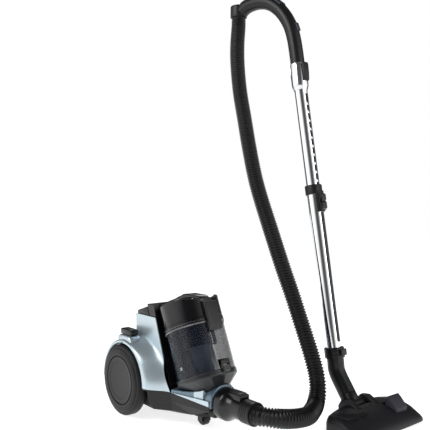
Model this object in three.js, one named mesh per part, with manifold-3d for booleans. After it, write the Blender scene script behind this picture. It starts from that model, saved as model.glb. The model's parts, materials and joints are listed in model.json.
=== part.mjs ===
// Bagless canister vacuum cleaner with hose, telescopic wand and floor head. Millimetres, +Z up.
// The canister stands on its wheels with +X towards the hose. The wand stands on its left side (+Y).

import * as THREE from 'three';
import { mergeVertices } from 'three/addons/utils/BufferGeometryUtils.js';
import Module from 'manifold-3d';

const wasm = await Module();
wasm.setup();

// ---- Driving dimensions ---------------------------------------------------------------------

const GAP = 0.3; // between pieces that touch
const RUNNING = 0.6; // between a turning or sliding piece and its guide
const WALL = 3; // moulded shell

// Rear wheels, measured from the middle plane
const WHEEL_RADIUS = 87;
const WHEEL_OUTER = 124;
const WHEEL_INNER = 94.5;
const TYRE_DEPTH = 9;
const HUBCAP_RADIUS = 57;
const HUBCAP_THICKNESS = 3.5;
const AXLE_RADIUS = 6;

// Canister body
const WAIST = 80; // height of the joint between the chassis tub and the upper shells
const HOUSING_HALF_WIDTH = 66;
const HOUSING_TOP = 243;
const HOUSING_REAR = -88;
const PILLAR_HALF_WIDTH = 70;
const PILLAR_REAR = -8;
const PILLAR_TOP = 248;
const FENDER_HALF_WIDTH = WHEEL_OUTER - 9;
const FENDER_RADIUS = WHEEL_RADIUS + 12.5;
const ARCH_RADIUS = WHEEL_RADIUS + 3.5;
const EDGE_FOOT = [145, WAIST]; // front edge of the side panels, foot and top
const EDGE_TOP = [81, 250];
const TRIM_HEIGHT = 277; // top of the trim beside the lid

// Dust cup, measured along its own axis from the foot of the base
const CUP_FOOT = [207, 0, 97];
const CUP_TILT = THREE.MathUtils.degToRad(23.7);
const CUP_RADIUS = 72;
const CUP_WALL = 2.5;
const BASE_FOOT_RADIUS = CUP_RADIUS / 2;
const BASE_FOOT_FORWARD = 13; // the foot's centre lies ahead of the cup's axis
const BASE_FOOT_DROP = 15;
const BASE_TAPER = 14;
const BASE_HEIGHT = 26;
const LID_FROM = 140;
const LID_TO = 210;
const LID_RADIUS = CUP_RADIUS + 1;
const LID_FLOOR = 180;
const LID_LEVEL = 302; // height above the floor where the lid's front is cut level
const HANDLE_TOP = 308;
const HANDLE_HALF_WIDTH = 16;
const BAY_CLEARANCE = 2.5;

// Hose inlet and connector
const INLET_HEIGHT = 71;
const COLLAR_FROM = 238;
const COLLAR_TO = 262;
const COLLAR_RADIUS = 41;
const COLLAR_BORE = 34;
const COLLAR_FOOT = 64; // the collar is an arch that ends at this height
const DUCT_RADIUS = 19;
const DUCT_BORE = 16.5;
const BELL_RADIUS = 36.5;
const NECK_RADIUS = 24;
const NECK_TO = 335;
const CUFF_RADIUS = 26;
const CUFF_TO = 369;

// Hose
const HOSE_DIAMETER = 42;
const HOSE_BORE = 33;
const HOSE_SIDES = 10;
const HOSE_STEPS = 34;
const DRAWN_WAND_LENGTH = 743; // the hose route below is drawn for this length of wand
const DRAWN_HOSE_ROUTE = [
  [369.4, 0, 71], [376, 0, 71], [388, 4, 71], [405, 23, 68], [414, 52, 63], [415, 84, 58], [409, 118, 54],
  [391, 152, 52], [374, 184, 58], [364, 203, 82], [355, 209, 116], [342, 210, 152], [320, 211, 200], [297, 212, 248],
  [270, 213, 304], [241, 214, 360], [207, 218, 424], [173, 223, 487], [147, 225, 540], [123, 227, 595],
  [94, 231, 680], [68, 236, 766], [43, 240, 854], [26, 246, 940], [17, 254, 995], [13.6, 261, 1040],
  [13.1, 262.3, 1058], [13.1, 262.4, 1067.8],
];

// Wand, measured along its own axis from the foot of the visible tube
const WAND_FOOT = [334, 298, 168.5];
const WAND_TILT = THREE.MathUtils.degToRad(9.53);
const WAND_LENGTH = 743;
// The upper end of the hose moves with the top of the wand, and its foot stays where it is.
const HOSE_ROUTE = DRAWN_HOSE_ROUTE.map(([x, y, z]) => {
  const share = Math.min(1, Math.max(0, (z - 200) / 700));
  const rise = share * (WAND_LENGTH - DRAWN_WAND_LENGTH);
  return [x - rise * Math.sin(WAND_TILT), y, z + rise * Math.cos(WAND_TILT)];
});
const OUTER_RADIUS = 18.5;
const OUTER_BORE = 17.6;
const OUTER_TO = 402;
const INNER_RADIUS = 17;
const INNER_BORE = 14;
const INNER_FROM = 330;
const SWELL_FROM = WAND_LENGTH - 75;
const SWELL_RADIUS = 22;
const COLLAR_HEIGHT = 12;
const TRACK_WIDTH = 9;

// Handle, in its own upright plane from the top of the wand, running backwards
const HANDLE_TURN = THREE.MathUtils.degToRad(10.2);
const HANDLE_RADIUS = 19;
const HANDLE_BORE = 13;
const HANDLE_ROUTE = [
  [0, 0], [-5.9, 41], [-12, 72], [-19.3, 98], [-33.2, 127.5], [-57.7, 160], [-90, 185], [-125, 196],
  [-158, 196], [-177, 191], [-187, 185],
];
const SOCKET_RADIUS = 24;
const SOCKET_FROM = [-201.1, 167.5];
const SOCKET_LENGTH = 34;

// Floor head
const HEAD_HALF_WIDTH = 126;
const HEAD_REAR = 400;
const HEAD_FRONT = 513;
const HEAD_HEIGHT = 48;
const PIVOT = [398, 40]; // forward position and height of the neck pivot
const PIVOT_RADIUS = 17;
const HUMP_HALF_WIDTH = 44;
const HUMP_TOP = 62;
const YOKE_HALF_WIDTH = 25;
const ELBOW_RADIUS = 21;
const ELBOW_BORE = 16;
const SEAM = [377, 61]; // where the elbow turns on the yoke
const SEAM_TILT = THREE.MathUtils.degToRad(35);
const HEAD_WHEEL_RADIUS = 8;

// ---- Materials --------------------------------------------------------------------------------

const plastic = (color, roughness, metalness = 0) =>
  new THREE.MeshStandardMaterial({ color, roughness, metalness });
const SILVER = plastic(0xb9cad2, 0.3, 0.5);
const BLUE_GREY = plastic(0x5d7382, 0.35, 0.4);
const CHARCOAL = plastic(0x38383b, 0.55);
const BLACK = plastic(0x161618, 0.3);
const SATIN = plastic(0x242628, 0.5);
const GRIP = plastic(0x343743, 0.6);
const PEDAL = plastic(0x3c3a44, 0.6);
const RUBBER = plastic(0x1b1b1c, 0.8);
const CHROME = plastic(0xd9dcdf, 0.1, 1);
const STEEL = plastic(0x9a9ca0, 0.3, 1);
const INNER = plastic(0x8c98a8, 0.5);
const FILTER = plastic(0xe4e2da, 0.9);
const SMOKED = new THREE.MeshStandardMaterial({
  color: 0x39404e, roughness: 0.1, transparent: true, opacity: 0.45,
});

// ---- Geometry helpers -------------------------------------------------------------------------

// Turns a geometry inside out where its volume is negative, so that every face points outwards.
function outwards(geometry) {
  const bare = geometry.index ? geometry.toNonIndexed() : geometry.clone();
  bare.deleteAttribute('normal');
  bare.deleteAttribute('uv');
  const merged = mergeVertices(bare, 1e-4);
  const { array } = merged.attributes.position;
  const all = Array.from(merged.index.array);
  const index = all.filter((_, k) => {
    const [a, b, c] = all.slice(k - (k % 3), k - (k % 3) + 3);
    return a !== b && b !== c && c !== a;
  });
  const corner = (k) => new THREE.Vector3().fromArray(array, 3 * index[k]);
  let volume = 0;
  for (let k = 0; k < index.length; k += 3) {
    volume += corner(k).dot(corner(k + 1).cross(corner(k + 2)));
  }
  merged.setIndex(volume < 0 ? index.reverse() : index);
  return merged;
}

function toSolid(piece) {
  if (piece instanceof wasm.Manifold) return piece;
  const closed = outwards(piece);
  const vertProperties = new Float32Array(closed.attributes.position.array);
  const triVerts = new Uint32Array(closed.index.array);
  return new wasm.Manifold(new wasm.Mesh({ numProp: 3, vertProperties, triVerts }));
}

function toGeometry(piece) {
  if (!(piece instanceof wasm.Manifold)) return piece;
  const mesh = piece.getMesh();
  const geometry = new THREE.BufferGeometry();
  geometry.setAttribute('position', new THREE.BufferAttribute(mesh.vertProperties, 3));
  geometry.setIndex(new THREE.BufferAttribute(mesh.triVerts, 1));
  return geometry;
}

const combine = (how) => (first, ...rest) =>
  rest.reduce((solid, next) => solid[how](toSolid(next)), toSolid(first));
const join = combine('add');
const cut = combine('subtract');
const keep = combine('intersect');

// A box between two corners.
function block(low, high) {
  const size = high.map((value, k) => value - low[k]);
  const centre = high.map((value, k) => (value + low[k]) / 2);
  return new THREE.BoxGeometry(...size).translate(...centre);
}

// A solid of revolution about Z from [radius, height] points. A profile that ends off the axis is closed.
function turned(profile, segments = 36) {
  const points = profile.map(([r, h]) => new THREE.Vector2(r, h));
  if (profile[0][0] > 0) points.push(points[0].clone());
  return new THREE.LatheGeometry(points, segments).rotateX(Math.PI / 2);
}

const alongX = (geometry) => geometry.rotateY(Math.PI / 2);
const alongY = (geometry) => geometry.rotateX(-Math.PI / 2);

// A rod or a tube about Z between two heights.
function rod(radius, from, to, segments = 24) {
  return turned([[0, from], [radius, from], [radius, to], [0, to]], segments);
}

function tube(outer, bore, from, to, segments = 36) {
  return turned([[bore, from], [outer, from], [outer, to], [bore, to]], segments);
}

// An outline of [x, z] points, extruded across Y between two sides.
function slab(outline, from, to) {
  const shape = new THREE.Shape(outline.map(([x, z]) => new THREE.Vector2(x, z)));
  const geometry = new THREE.ExtrudeGeometry(shape, { depth: to - from, bevelEnabled: false });
  return geometry.rotateX(Math.PI / 2).translate(0, to, 0);
}

// Triangles that close a flat ring, wound the way the ring runs.
function ringCap(ring) {
  const points = ring.map((p) => new THREE.Vector3(...p));
  const normal = new THREE.Vector3();
  points.forEach((p, k) => normal.add(p.clone().cross(points[(k + 1) % points.length])));
  normal.normalize();
  const across = new THREE.Vector3(normal.z, normal.x, normal.y).cross(normal).normalize();
  const up = normal.clone().cross(across);
  const flat = points.map((p) => new THREE.Vector2(p.dot(across), p.dot(up)));
  return THREE.ShapeUtils.triangulateShape(flat, []).map(([a, b, c]) => {
    const turn = flat[b].clone().sub(flat[a]).cross(flat[c].clone().sub(flat[a]));
    return turn > 0 ? [a, b, c] : [a, c, b];
  });
}

// Joins rings of equally many points into one closed skin.
function loft(rings) {
  const count = rings[0].length;
  const index = [];
  for (let ring = 0; ring + 1 < rings.length; ring += 1) {
    for (let k = 0; k < count; k += 1) {
      const a = ring * count + k;
      const b = ring * count + ((k + 1) % count);
      index.push(a, b, b + count, a, b + count, a + count);
    }
  }
  const last = count * (rings.length - 1);
  ringCap(rings[0]).forEach(([a, b, c]) => index.push(a, c, b));
  ringCap(rings.at(-1)).forEach((corners) => index.push(...corners.map((k) => k + last)));
  const geometry = new THREE.BufferGeometry();
  geometry.setAttribute('position', new THREE.Float32BufferAttribute(rings.flat(2), 3));
  geometry.setIndex(index);
  return geometry;
}

// Moves a row of 2-D points sideways by a distance, to the left of its direction.
function offsetRow(points, distance, closed = false) {
  const direction = (a, b) => {
    const length = Math.hypot(b[0] - a[0], b[1] - a[1]);
    return [(b[0] - a[0]) / length, (b[1] - a[1]) / length];
  };
  const last = points.length - 1;
  return points.map((point, k) => {
    const before = k > 0 ? points[k - 1] : closed ? points[last] : null;
    const after = k < last ? points[k + 1] : closed ? points[0] : null;
    const d0 = before ? direction(before, point) : direction(point, after);
    const d1 = after ? direction(point, after) : d0;
    const normal = [-(d0[1] + d1[1]), d0[0] + d1[0]];
    const scale = (2 * distance) / (normal[0] ** 2 + normal[1] ** 2);
    return [point[0] + normal[0] * scale, point[1] + normal[1] * scale];
  });
}

// A round tube swept along a route.
function sweep(route, radius, sides, steps, bore = 0) {
  const path = new THREE.CatmullRomCurve3(route.map((p) => new THREE.Vector3(...p)), false, 'centripetal');
  const section = new THREE.Shape().absarc(0, 0, radius, 0, 2 * Math.PI);
  if (bore) section.holes.push(new THREE.Path().absarc(0, 0, bore, 0, 2 * Math.PI, true));
  return new THREE.ExtrudeGeometry(section, { steps, extrudePath: path, curveSegments: sides });
}

const mirrored = (piece) => outwards(toGeometry(piece).clone().scale(1, -1, 1));

function add(group, name, material, piece) {
  const mesh = new THREE.Mesh(outwards(toGeometry(piece)), material);
  mesh.name = name;
  group.add(mesh);
  return mesh;
}

// ---- Groups and shared frames -----------------------------------------------------------------

const machine = new THREE.Group();

const cup = new THREE.Group();
cup.position.set(...CUP_FOOT);
cup.rotation.y = -CUP_TILT;
cup.updateMatrix();

const wand = new THREE.Group();
wand.position.set(...WAND_FOOT);
wand.rotation.y = -WAND_TILT;
wand.updateMatrix();

const handle = new THREE.Group();
handle.position.set(0, 0, WAND_LENGTH).applyMatrix4(wand.matrix);
handle.rotation.z = HANDLE_TURN;

const head = new THREE.Group();
head.position.y = WAND_FOOT[1];
machine.add(cup, wand, handle, head);

const inCup = (geometry) => geometry.applyMatrix4(cup.matrix);
const inInlet = (geometry) => alongX(geometry).translate(0, 0, INLET_HEIGHT);

// Forward position of a line parallel to the cup's axis, set back from it, at a height.
function behindCup(distance, height) {
  const foot = [CUP_FOOT[0] - distance * Math.cos(CUP_TILT), CUP_FOOT[2] - distance * Math.sin(CUP_TILT)];
  return foot[0] - (height - foot[1]) * Math.tan(CUP_TILT);
}

// Forward position of the side panels' front edge at a height.
const edgeAt = (height) =>
  EDGE_FOOT[0] + ((EDGE_TOP[0] - EDGE_FOOT[0]) * (height - EDGE_FOOT[1])) / (EDGE_TOP[1] - EDGE_FOOT[1]);

// ---- Chassis ----------------------------------------------------------------------------------

// Plan outlines at rising heights, each as [forward, half width] from the rear to the front.
const HIP = WHEEL_INNER - 2;
const NOSE_HALF_WIDTH = COLLAR_RADIUS + 2;
const CHASSIS_LEVELS = [
  [27, [[-60, 62], [-20, 72], [60, 72], [95, 66], [120, 56], [150, 44]]],
  [34, [[-74, 74], [-30, HIP - 6], [70, HIP - 5], [104, HIP - 4], [140, 60], [196, 42]]],
  [56, [[-82, 82], [-30, HIP], [WHEEL_RADIUS + 1, HIP], [WHEEL_RADIUS + 10, HIP + 8], [142, 64],
    [COLLAR_TO - 4, NOSE_HALF_WIDTH - 2]]],
  [WAIST - GAP, [[-84, 84], [-30, HIP], [WHEEL_RADIUS + 1, HIP], [WHEEL_RADIUS + 11, HIP + 12], [145, 67],
    [COLLAR_TO - 4, NOSE_HALF_WIDTH]]],
];
const CASTER_AXIS = 200;
const CASTER_TRAIL = 14;
const CASTER_RADIUS = 16;
const CASTER_HALF_WIDTH = 9;
const CASTER_TOP = 38; // underside of the caster housing
const CASTER_SWEEP = CASTER_TRAIL + CASTER_RADIUS + 6; // the fork turns within this radius

function chassisRings(inset) {
  return CHASSIS_LEVELS.map(([height, plan], level) => {
    const side = plan.map(([x, w], k) => {
      const shift = k === 0 ? inset : k === plan.length - 1 ? -inset : 0;
      return [x + shift, w - inset, height + (inset && level === 0 ? inset : 0)];
    });
    return [...side, ...side.map(([x, w, z]) => [x, -w, z]).reverse()];
  });
}

function chassis() {
  const outer = loft(chassisRings(0));
  const hollow = chassisRings(WALL);
  hollow.push(hollow.at(-1).map(([x, y]) => [x, y, WAIST + 20]));
  let tub = cut(outer, loft(hollow));
  const bracket = block([-20, HOUSING_HALF_WIDTH + 3, 56], [20, HIP, WHEEL_RADIUS + 18]);
  const casterHousing = block([CASTER_AXIS - 20, -24, CASTER_TOP], [COLLAR_TO - 6, 24, 62]);
  const casterDisc = rod(CASTER_SWEEP + WALL, CASTER_TOP - 4, CASTER_TOP + 4, 36).translate(CASTER_AXIS, 0, 0);
  const casterRoom = rod(CASTER_SWEEP, 0, CASTER_TOP, 36).translate(CASTER_AXIS, 0, 0);
  tub = join(tub, bracket, mirrored(bracket), casterHousing, casterDisc);
  const axleBore = alongY(rod(AXLE_RADIUS + 0.15, -200, 200)).translate(0, 0, WHEEL_RADIUS);
  const casterBore = rod(6.3, CASTER_TOP - 1, CASTER_TOP + 18).translate(CASTER_AXIS, 0, 0);
  const collarSeat = keep(
    inInlet(rod(COLLAR_RADIUS + GAP, COLLAR_FROM - GAP, COLLAR_TO + 10, 36)),
    block([0, -90, COLLAR_FOOT - GAP], [400, 90, 200]),
  );
  const ductHole = inInlet(rod(DUCT_RADIUS + GAP, COLLAR_FROM, COLLAR_TO + 10));
  return cut(tub, casterRoom, axleBore, casterBore, collarSeat, ductHole);
}

add(machine, 'chassis', CHARCOAL, chassis());

// ---- Motor housing and what it holds ----------------------------------------------------------

const FILTER_WINDOW = { half: 42, low: 104, high: 158 };

// Motor and cord reel share one cross line.
const MOTOR_AT = [8, 0, 128];
const GLAND_AT = [54, 89]; // sideways and height
const REEL_FROM = 24;
const REEL_TO = HOUSING_HALF_WIDTH - WALL - 3;
const atMotor = (geometry) => alongY(geometry).translate(...MOTOR_AT);
const bayBack = (height) => behindCup(CUP_RADIUS + BAY_CLEARANCE + WALL + 5, height);
const HOUSING_OUTLINE = [
  [bayBack(WAIST), WAIST], [bayBack(HOUSING_TOP), HOUSING_TOP], [PILLAR_REAR, HOUSING_TOP],
  [PILLAR_REAR - 4, 192], [-62, 182], [HOUSING_REAR, 162], [HOUSING_REAR, 96], [-84, WAIST],
];

function motorHousing() {
  const outer = slab(HOUSING_OUTLINE, -HOUSING_HALF_WIDTH, HOUSING_HALF_WIDTH);
  const inner = offsetRow(HOUSING_OUTLINE, WALL, true);
  inner[0][1] = WAIST - 20;
  inner.at(-1)[1] = WAIST - 20;
  const room = slab(inner, WALL - HOUSING_HALF_WIDTH, HOUSING_HALF_WIDTH - WALL);
  const { half, low, high } = FILTER_WINDOW;
  const window = block([HOUSING_REAR - 9, -half, low], [HOUSING_REAR + 9, half, high]);
  const gland = alongX(rod(7, HOUSING_REAR - 9, HOUSING_REAR + 9)).translate(0, ...GLAND_AT);
  const reelAxle = alongY(rod(6, REEL_FROM - 4, HOUSING_HALF_WIDTH - 1)).translate(...MOTOR_AT);
  return join(cut(outer, room, window, gland), reelAxle);
}

function exhaustCover() {
  const { half, low, high } = FILTER_WINDOW;
  const back = HOUSING_REAR - GAP;
  const plate = block([back - 4, -half - 6, low - 3], [back, half + 6, high + 3]);
  const slots = [];
  for (let height = low + 6; height < high - 6; height += 8) {
    slots.push(block([back - 9, -half + 6, height], [back + 5, half - 6, height + 4]));
  }
  return cut(plate, ...slots);
}

add(machine, 'motor_housing', CHARCOAL, motorHousing());
add(machine, 'exhaust_cover', CHARCOAL, exhaustCover());
add(machine, 'exhaust_filter', FILTER, block(
  [HOUSING_REAR + GAP, -FILTER_WINDOW.half + 1, FILTER_WINDOW.low + 1],
  [HOUSING_REAR + 18, FILTER_WINDOW.half - 1, FILTER_WINDOW.high - 1],
));
add(machine, 'cord_gland', RUBBER, alongX(turned(
  [[3.6, HOUSING_REAR - 3], [9.5, HOUSING_REAR - 3], [9.5, HOUSING_REAR - GAP], [6.7, HOUSING_REAR - GAP],
    [6.7, HOUSING_REAR + 5], [3.6, HOUSING_REAR + 5]], 20,
)).translate(0, ...GLAND_AT));

add(machine, 'motor_can', STEEL, atMotor(tube(40, 5, -60, -22, 32)));
add(machine, 'fan_housing', BLACK, atMotor(turned(
  [[8, -21.5], [54, -21.5], [54, 14], [20, 14], [20, 11.5], [51, 11.5], [51, -19], [8, -19]], 32,
)));
add(machine, 'motor_rotor', STEEL, atMotor(turned(
  [[0, -62], [4.2, -62], [4.2, -16], [47, -16], [47, -13], [18, 6], [0, 10]], 24,
)));
add(machine, 'cord_reel', SATIN, atMotor(turned(
  [[6.5, REEL_FROM], [50, REEL_FROM], [50, REEL_FROM + 3], [26, REEL_FROM + 3], [26, REEL_TO - 3],
    [50, REEL_TO - 3], [50, REEL_TO], [6.5, REEL_TO]], 32,
)));

// ---- Cup bay and top trim ---------------------------------------------------------------------

function cupBay() {
  const low = WAIST + GAP;
  const front = (height) => edgeAt(height) - 3;
  const back = (height) => bayBack(height) + GAP + 1;
  const outline = [
    [back(low), low], [front(low), low], [front(TRIM_HEIGHT), TRIM_HEIGHT], [back(TRIM_HEIGHT), TRIM_HEIGHT],
  ];
  const wall = slab(outline, -HOUSING_HALF_WIDTH, HOUSING_HALF_WIDTH);
  const recess = inCup(rod(CUP_RADIUS + BAY_CLEARANCE + 1, -80, 320, 40));
  const suction = alongX(rod(15, -50, 300)).translate(0, 0, 200);
  return cut(wall, recess, suction);
}

function topCover() {
  const back = (height) => bayBack(height);
  const low = HOUSING_TOP + GAP;
  const outline = [
    [PILLAR_REAR, low], [back(low) - 1, low], [back(TRIM_HEIGHT - 4) - 1, TRIM_HEIGHT - 6], [PILLAR_REAR, 256],
  ];
  return slab(outline, -HOUSING_HALF_WIDTH, HOUSING_HALF_WIDTH);
}

add(machine, 'cup_bay', BLACK, cupBay());
add(machine, 'top_cover', BLACK, topCover());

// ---- Side panels ------------------------------------------------------------------------------

const smooth = (t) => THREE.MathUtils.smoothstep(t, 0, 1);

// Distance from the wheel's centre to the panel's outline, in a direction given in degrees.
function panelReach(angle) {
  const [c, s] = [Math.cos(angle), Math.sin(angle)];
  if (c * PILLAR_TOP < s * PILLAR_REAR - 8) return FENDER_RADIUS;
  const run = EDGE_TOP[0] - EDGE_FOOT[0];
  const rise = EDGE_TOP[1] - EDGE_FOOT[1];
  const footHeight = EDGE_FOOT[1] - WHEEL_RADIUS;
  const toEdge = (EDGE_FOOT[0] * rise - footHeight * run) / (c * rise - s * run);
  const toTop = (PILLAR_TOP - WHEEL_RADIUS) / Math.max(s, 1e-6);
  return Math.min(toEdge, toTop);
}

const PILLAR_ANGLE = Math.atan2(PILLAR_TOP - WHEEL_RADIUS, PILLAR_REAR);
const PANEL_START = Math.asin((WAIST + GAP - WHEEL_RADIUS) / EDGE_FOOT[0]);

// The panel's half width at a distance from the wheel's centre: a fender that dies away forwards.
function panelHalfWidth(radius, angle) {
  const fade = WHEEL_RADIUS + 25 + 36 * smooth(1 - angle / THREE.MathUtils.degToRad(75));
  const crown = WHEEL_RADIUS + 10;
  const t = THREE.MathUtils.clamp((radius - crown) / (fade - crown), 0, 1);
  return FENDER_HALF_WIDTH - (FENDER_HALF_WIDTH - PILLAR_HALF_WIDTH) * smooth(t);
}

function panelRing(angle, rear) {
  const reach = rear ? FENDER_RADIUS : panelReach(angle);
  let row;
  if (rear) {
    row = [[ARCH_RADIUS, 97], [ARCH_RADIUS, FENDER_HALF_WIDTH], [ARCH_RADIUS + 4.5, FENDER_HALF_WIDTH],
      [ARCH_RADIUS + 7.5, FENDER_HALF_WIDTH - 2], [reach, FENDER_HALF_WIDTH - 6], [reach, 98],
      [reach, 85], [reach, HOUSING_HALF_WIDTH + 1]];
  } else {
    const fractions = [0, 0.08, 0.2, 0.36, 0.6, 1];
    const first = ARCH_RADIUS + 3.5;
    const radii = fractions.map((f) => first + (reach - first) * f);
    row = [[ARCH_RADIUS, 97], [ARCH_RADIUS, FENDER_HALF_WIDTH], ...radii.map((r) => [r, panelHalfWidth(r, angle)])];
  }
  const inner = offsetRow(row, -2.4).reverse();
  return [...row, ...inner].map(([r, y]) =>
    [r * Math.cos(angle), y, WHEEL_RADIUS + r * Math.sin(angle)]);
}

const PEDAL_AT = [-3, 92]; // forward and sideways
const POD_TOP = 2 * WHEEL_RADIUS + 22;

function pedalPod() {
  const ring = (height, length, width) =>
    [[1, 1], [-1, 1], [-1, -1], [1, -1]].map(([a, b]) =>
      [PEDAL_AT[0] + a * length, PEDAL_AT[1] + b * width, height]);
  return loft([ring(POD_TOP - 11.5, 34, 17.6), ring(POD_TOP - 4, 28, 17.2), ring(POD_TOP, 24, 15)]);
}

function panelRings(from, to, count, rear) {
  return Array.from({ length: count + 1 }, (_, k) => panelRing(from + ((to - from) * k) / count, rear));
}

function sidePanel() {
  const last = Math.PI - Math.asin((WAIST + GAP - WHEEL_RADIUS) / FENDER_RADIUS);
  const flank = loft(panelRings(PANEL_START, PILLAR_ANGLE, 9, false));
  const fender = loft(panelRings(PILLAR_ANGLE - 0.07, last, 8, true));
  const pocket = block(
    [PEDAL_AT[0] - 18, PEDAL_AT[1] - 10.6, POD_TOP - 26], [PEDAL_AT[0] + 18, PEDAL_AT[1] + 10.6, POD_TOP + 24],
  );
  return cut(join(flank, fender, pedalPod()), pocket);
}

const leftPanel = sidePanel();
add(machine, 'side_panel_left', SILVER, leftPanel);
add(machine, 'side_panel_right', SILVER, mirrored(leftPanel));

function pedal() {
  const [x, y] = PEDAL_AT;
  const cap = block([x - 25, y - 12, POD_TOP + 4.6], [x + 25, y + 12, POD_TOP + 16]);
  const stem = block([x - 17, y - 9.8, POD_TOP - 17], [x + 17, y + 9.8, POD_TOP + 6]);
  return join(cap, stem);
}

add(machine, 'rewind_pedal', BLACK, pedal());
add(machine, 'power_pedal', BLACK, mirrored(pedal()));

// ---- Nose -------------------------------------------------------------------------------------

// Inverted-U sections at rising forward positions: [forward, half width, crown height].
const NOSE_SECTIONS = [
  [EDGE_FOOT[0] + 1.5, 67, 90], [172, 60, 91], [200, 53, 97], [COLLAR_FROM - GAP, 43, 110],
];

// The tapered base of the cup, grown all round by a distance.
function baseLoft(grow) {
  const ring = (height, radius, forward) => Array.from({ length: 40 }, (_, k) => {
    const a = (2 * Math.PI * k) / 40;
    return [forward + (radius + grow) * Math.cos(a), (radius + grow) * Math.sin(a), height];
  });
  return loft([
    ring(-BASE_FOOT_DROP - grow, BASE_FOOT_RADIUS, BASE_FOOT_FORWARD),
    ring(BASE_TAPER, CUP_RADIUS + 1, 0), ring(BASE_HEIGHT + grow, CUP_RADIUS + 1, 0),
  ]);
}

// The room that the cup needs as it is lifted out, grown by a clearance.
function cupRoom(clearance) {
  return join(inCup(baseLoft(clearance)), inCup(rod(CUP_RADIUS + 1 + clearance, BASE_TAPER, 320, 40)));
}

function noseLoft(inset) {
  return loft(NOSE_SECTIONS.map(([x, w, top], k) => {
    const low = inset ? WAIST - 20 : WAIST + GAP;
    const rise = top - WAIST - inset;
    const half = w - inset;
    const side = [[1, 0.45], [0.94, 0.72], [0.7, 0.92], [0.36, 0.99], [0, 1]]
      .map(([a, b]) => [a * half, WAIST + b * rise]);
    const arch = [[half, low], ...side, ...side.slice(0, -1).reverse().map(([y, z]) => [-y, z]), [-half, low]];
    const end = k === 0 ? -inset : k === NOSE_SECTIONS.length - 1 ? inset : 0;
    return arch.map(([y, z]) => [x + end, y, z]);
  }));
}

function noseCover() {
  return cut(noseLoft(0), cupRoom(1.5), cut(noseLoft(WALL), cupRoom(1.5 + WALL)));
}

function noseCollar() {
  const ring = inInlet(tube(COLLAR_RADIUS, COLLAR_BORE, COLLAR_FROM, COLLAR_TO, 36));
  return cut(keep(ring, block([0, -90, COLLAR_FOOT], [400, 90, 200])), cupRoom(1.5));
}

add(machine, 'nose_cover', SILVER, noseCover());
add(machine, 'nose_collar', BLUE_GREY, noseCollar());
add(machine, 'inlet_duct', BLACK, inInlet(tube(DUCT_RADIUS, DUCT_BORE, COLLAR_FROM + 3, COLLAR_TO - GAP, 24)));

// ---- Wheels and caster ------------------------------------------------------------------------

const TYRE_BORE = WHEEL_RADIUS - TYRE_DEPTH;
const tyreProfile = [
  [TYRE_BORE, WHEEL_INNER + 2], [WHEEL_RADIUS - 3, WHEEL_INNER + 2], [WHEEL_RADIUS, WHEEL_INNER + 6],
  [WHEEL_RADIUS, WHEEL_OUTER - 11], [WHEEL_RADIUS - 3, WHEEL_OUTER - 5], [TYRE_BORE, WHEEL_OUTER - 3],
];
const HUB_BORE = AXLE_RADIUS + RUNNING / 2;
const WEB = WHEEL_OUTER - HUBCAP_THICKNESS - 2.5; // inside of the wheel's face
const discProfile = [
  [HUB_BORE, WHEEL_INNER], [HUB_BORE + 5, WHEEL_INNER], [HUB_BORE + 5, WEB], [TYRE_BORE - WALL, WEB],
  [TYRE_BORE - WALL, WHEEL_INNER], [TYRE_BORE - GAP, WHEEL_INNER], [TYRE_BORE - GAP, WHEEL_OUTER - 2],
  [HUBCAP_RADIUS + 4, WHEEL_OUTER], [HUBCAP_RADIUS + 1, WHEEL_OUTER - 2.5],
  [HUBCAP_RADIUS, WHEEL_OUTER - 0.5], [0, WHEEL_OUTER - 0.5], [0, WHEEL_OUTER - HUBCAP_THICKNESS - 0.5],
  [HUB_BORE, WHEEL_OUTER - HUBCAP_THICKNESS - 0.5],
];
const atAxle = (geometry) => alongY(geometry).translate(0, 0, WHEEL_RADIUS);
const wheelPieces = [
  ['wheel', CHARCOAL, () => turned(discProfile, 36)],
  ['tyre', RUBBER, () => turned(tyreProfile, 36)],
  ['axle', STEEL, () => rod(AXLE_RADIUS, HOUSING_HALF_WIDTH + 1.5, WHEEL_OUTER - HUBCAP_THICKNESS - 2)],
];
for (const [name, material, make] of wheelPieces) {
  const left = atAxle(make());
  add(machine, `${name}_left`, material, left);
  add(machine, `${name}_right`, material, mirrored(left));
}

const CASTER_X = CASTER_AXIS - CASTER_TRAIL;

function casterFork() {
  const top = CASTER_TOP - 1;
  const plate = block([CASTER_X - 10, -14, 33.5], [CASTER_AXIS + 12, 14, top]);
  const cheek = block([CASTER_X - 7, 10, 10], [CASTER_X + 9, 13.5, 34]);
  const post = rod(5.8, top - 2, CASTER_TOP + 16).translate(CASTER_AXIS, 0, 0);
  const pin = alongY(rod(2.4, -12, 12, 16)).translate(CASTER_X, 0, CASTER_RADIUS);
  return join(plate, cheek, mirrored(cheek), post, pin);
}

const atCaster = (geometry) => alongY(geometry).translate(CASTER_X, 0, CASTER_RADIUS);
add(machine, 'caster_fork', BLACK, casterFork());
add(machine, 'caster_wheel', SATIN, atCaster(turned(
  [[2.9, -CASTER_HALF_WIDTH], [13, -CASTER_HALF_WIDTH], [CASTER_RADIUS, -6], [CASTER_RADIUS, 6],
    [13, CASTER_HALF_WIDTH], [2.9, CASTER_HALF_WIDTH]], 28,
)));

// ---- Dust cup, upright in its own group -------------------------------------------------------

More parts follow.
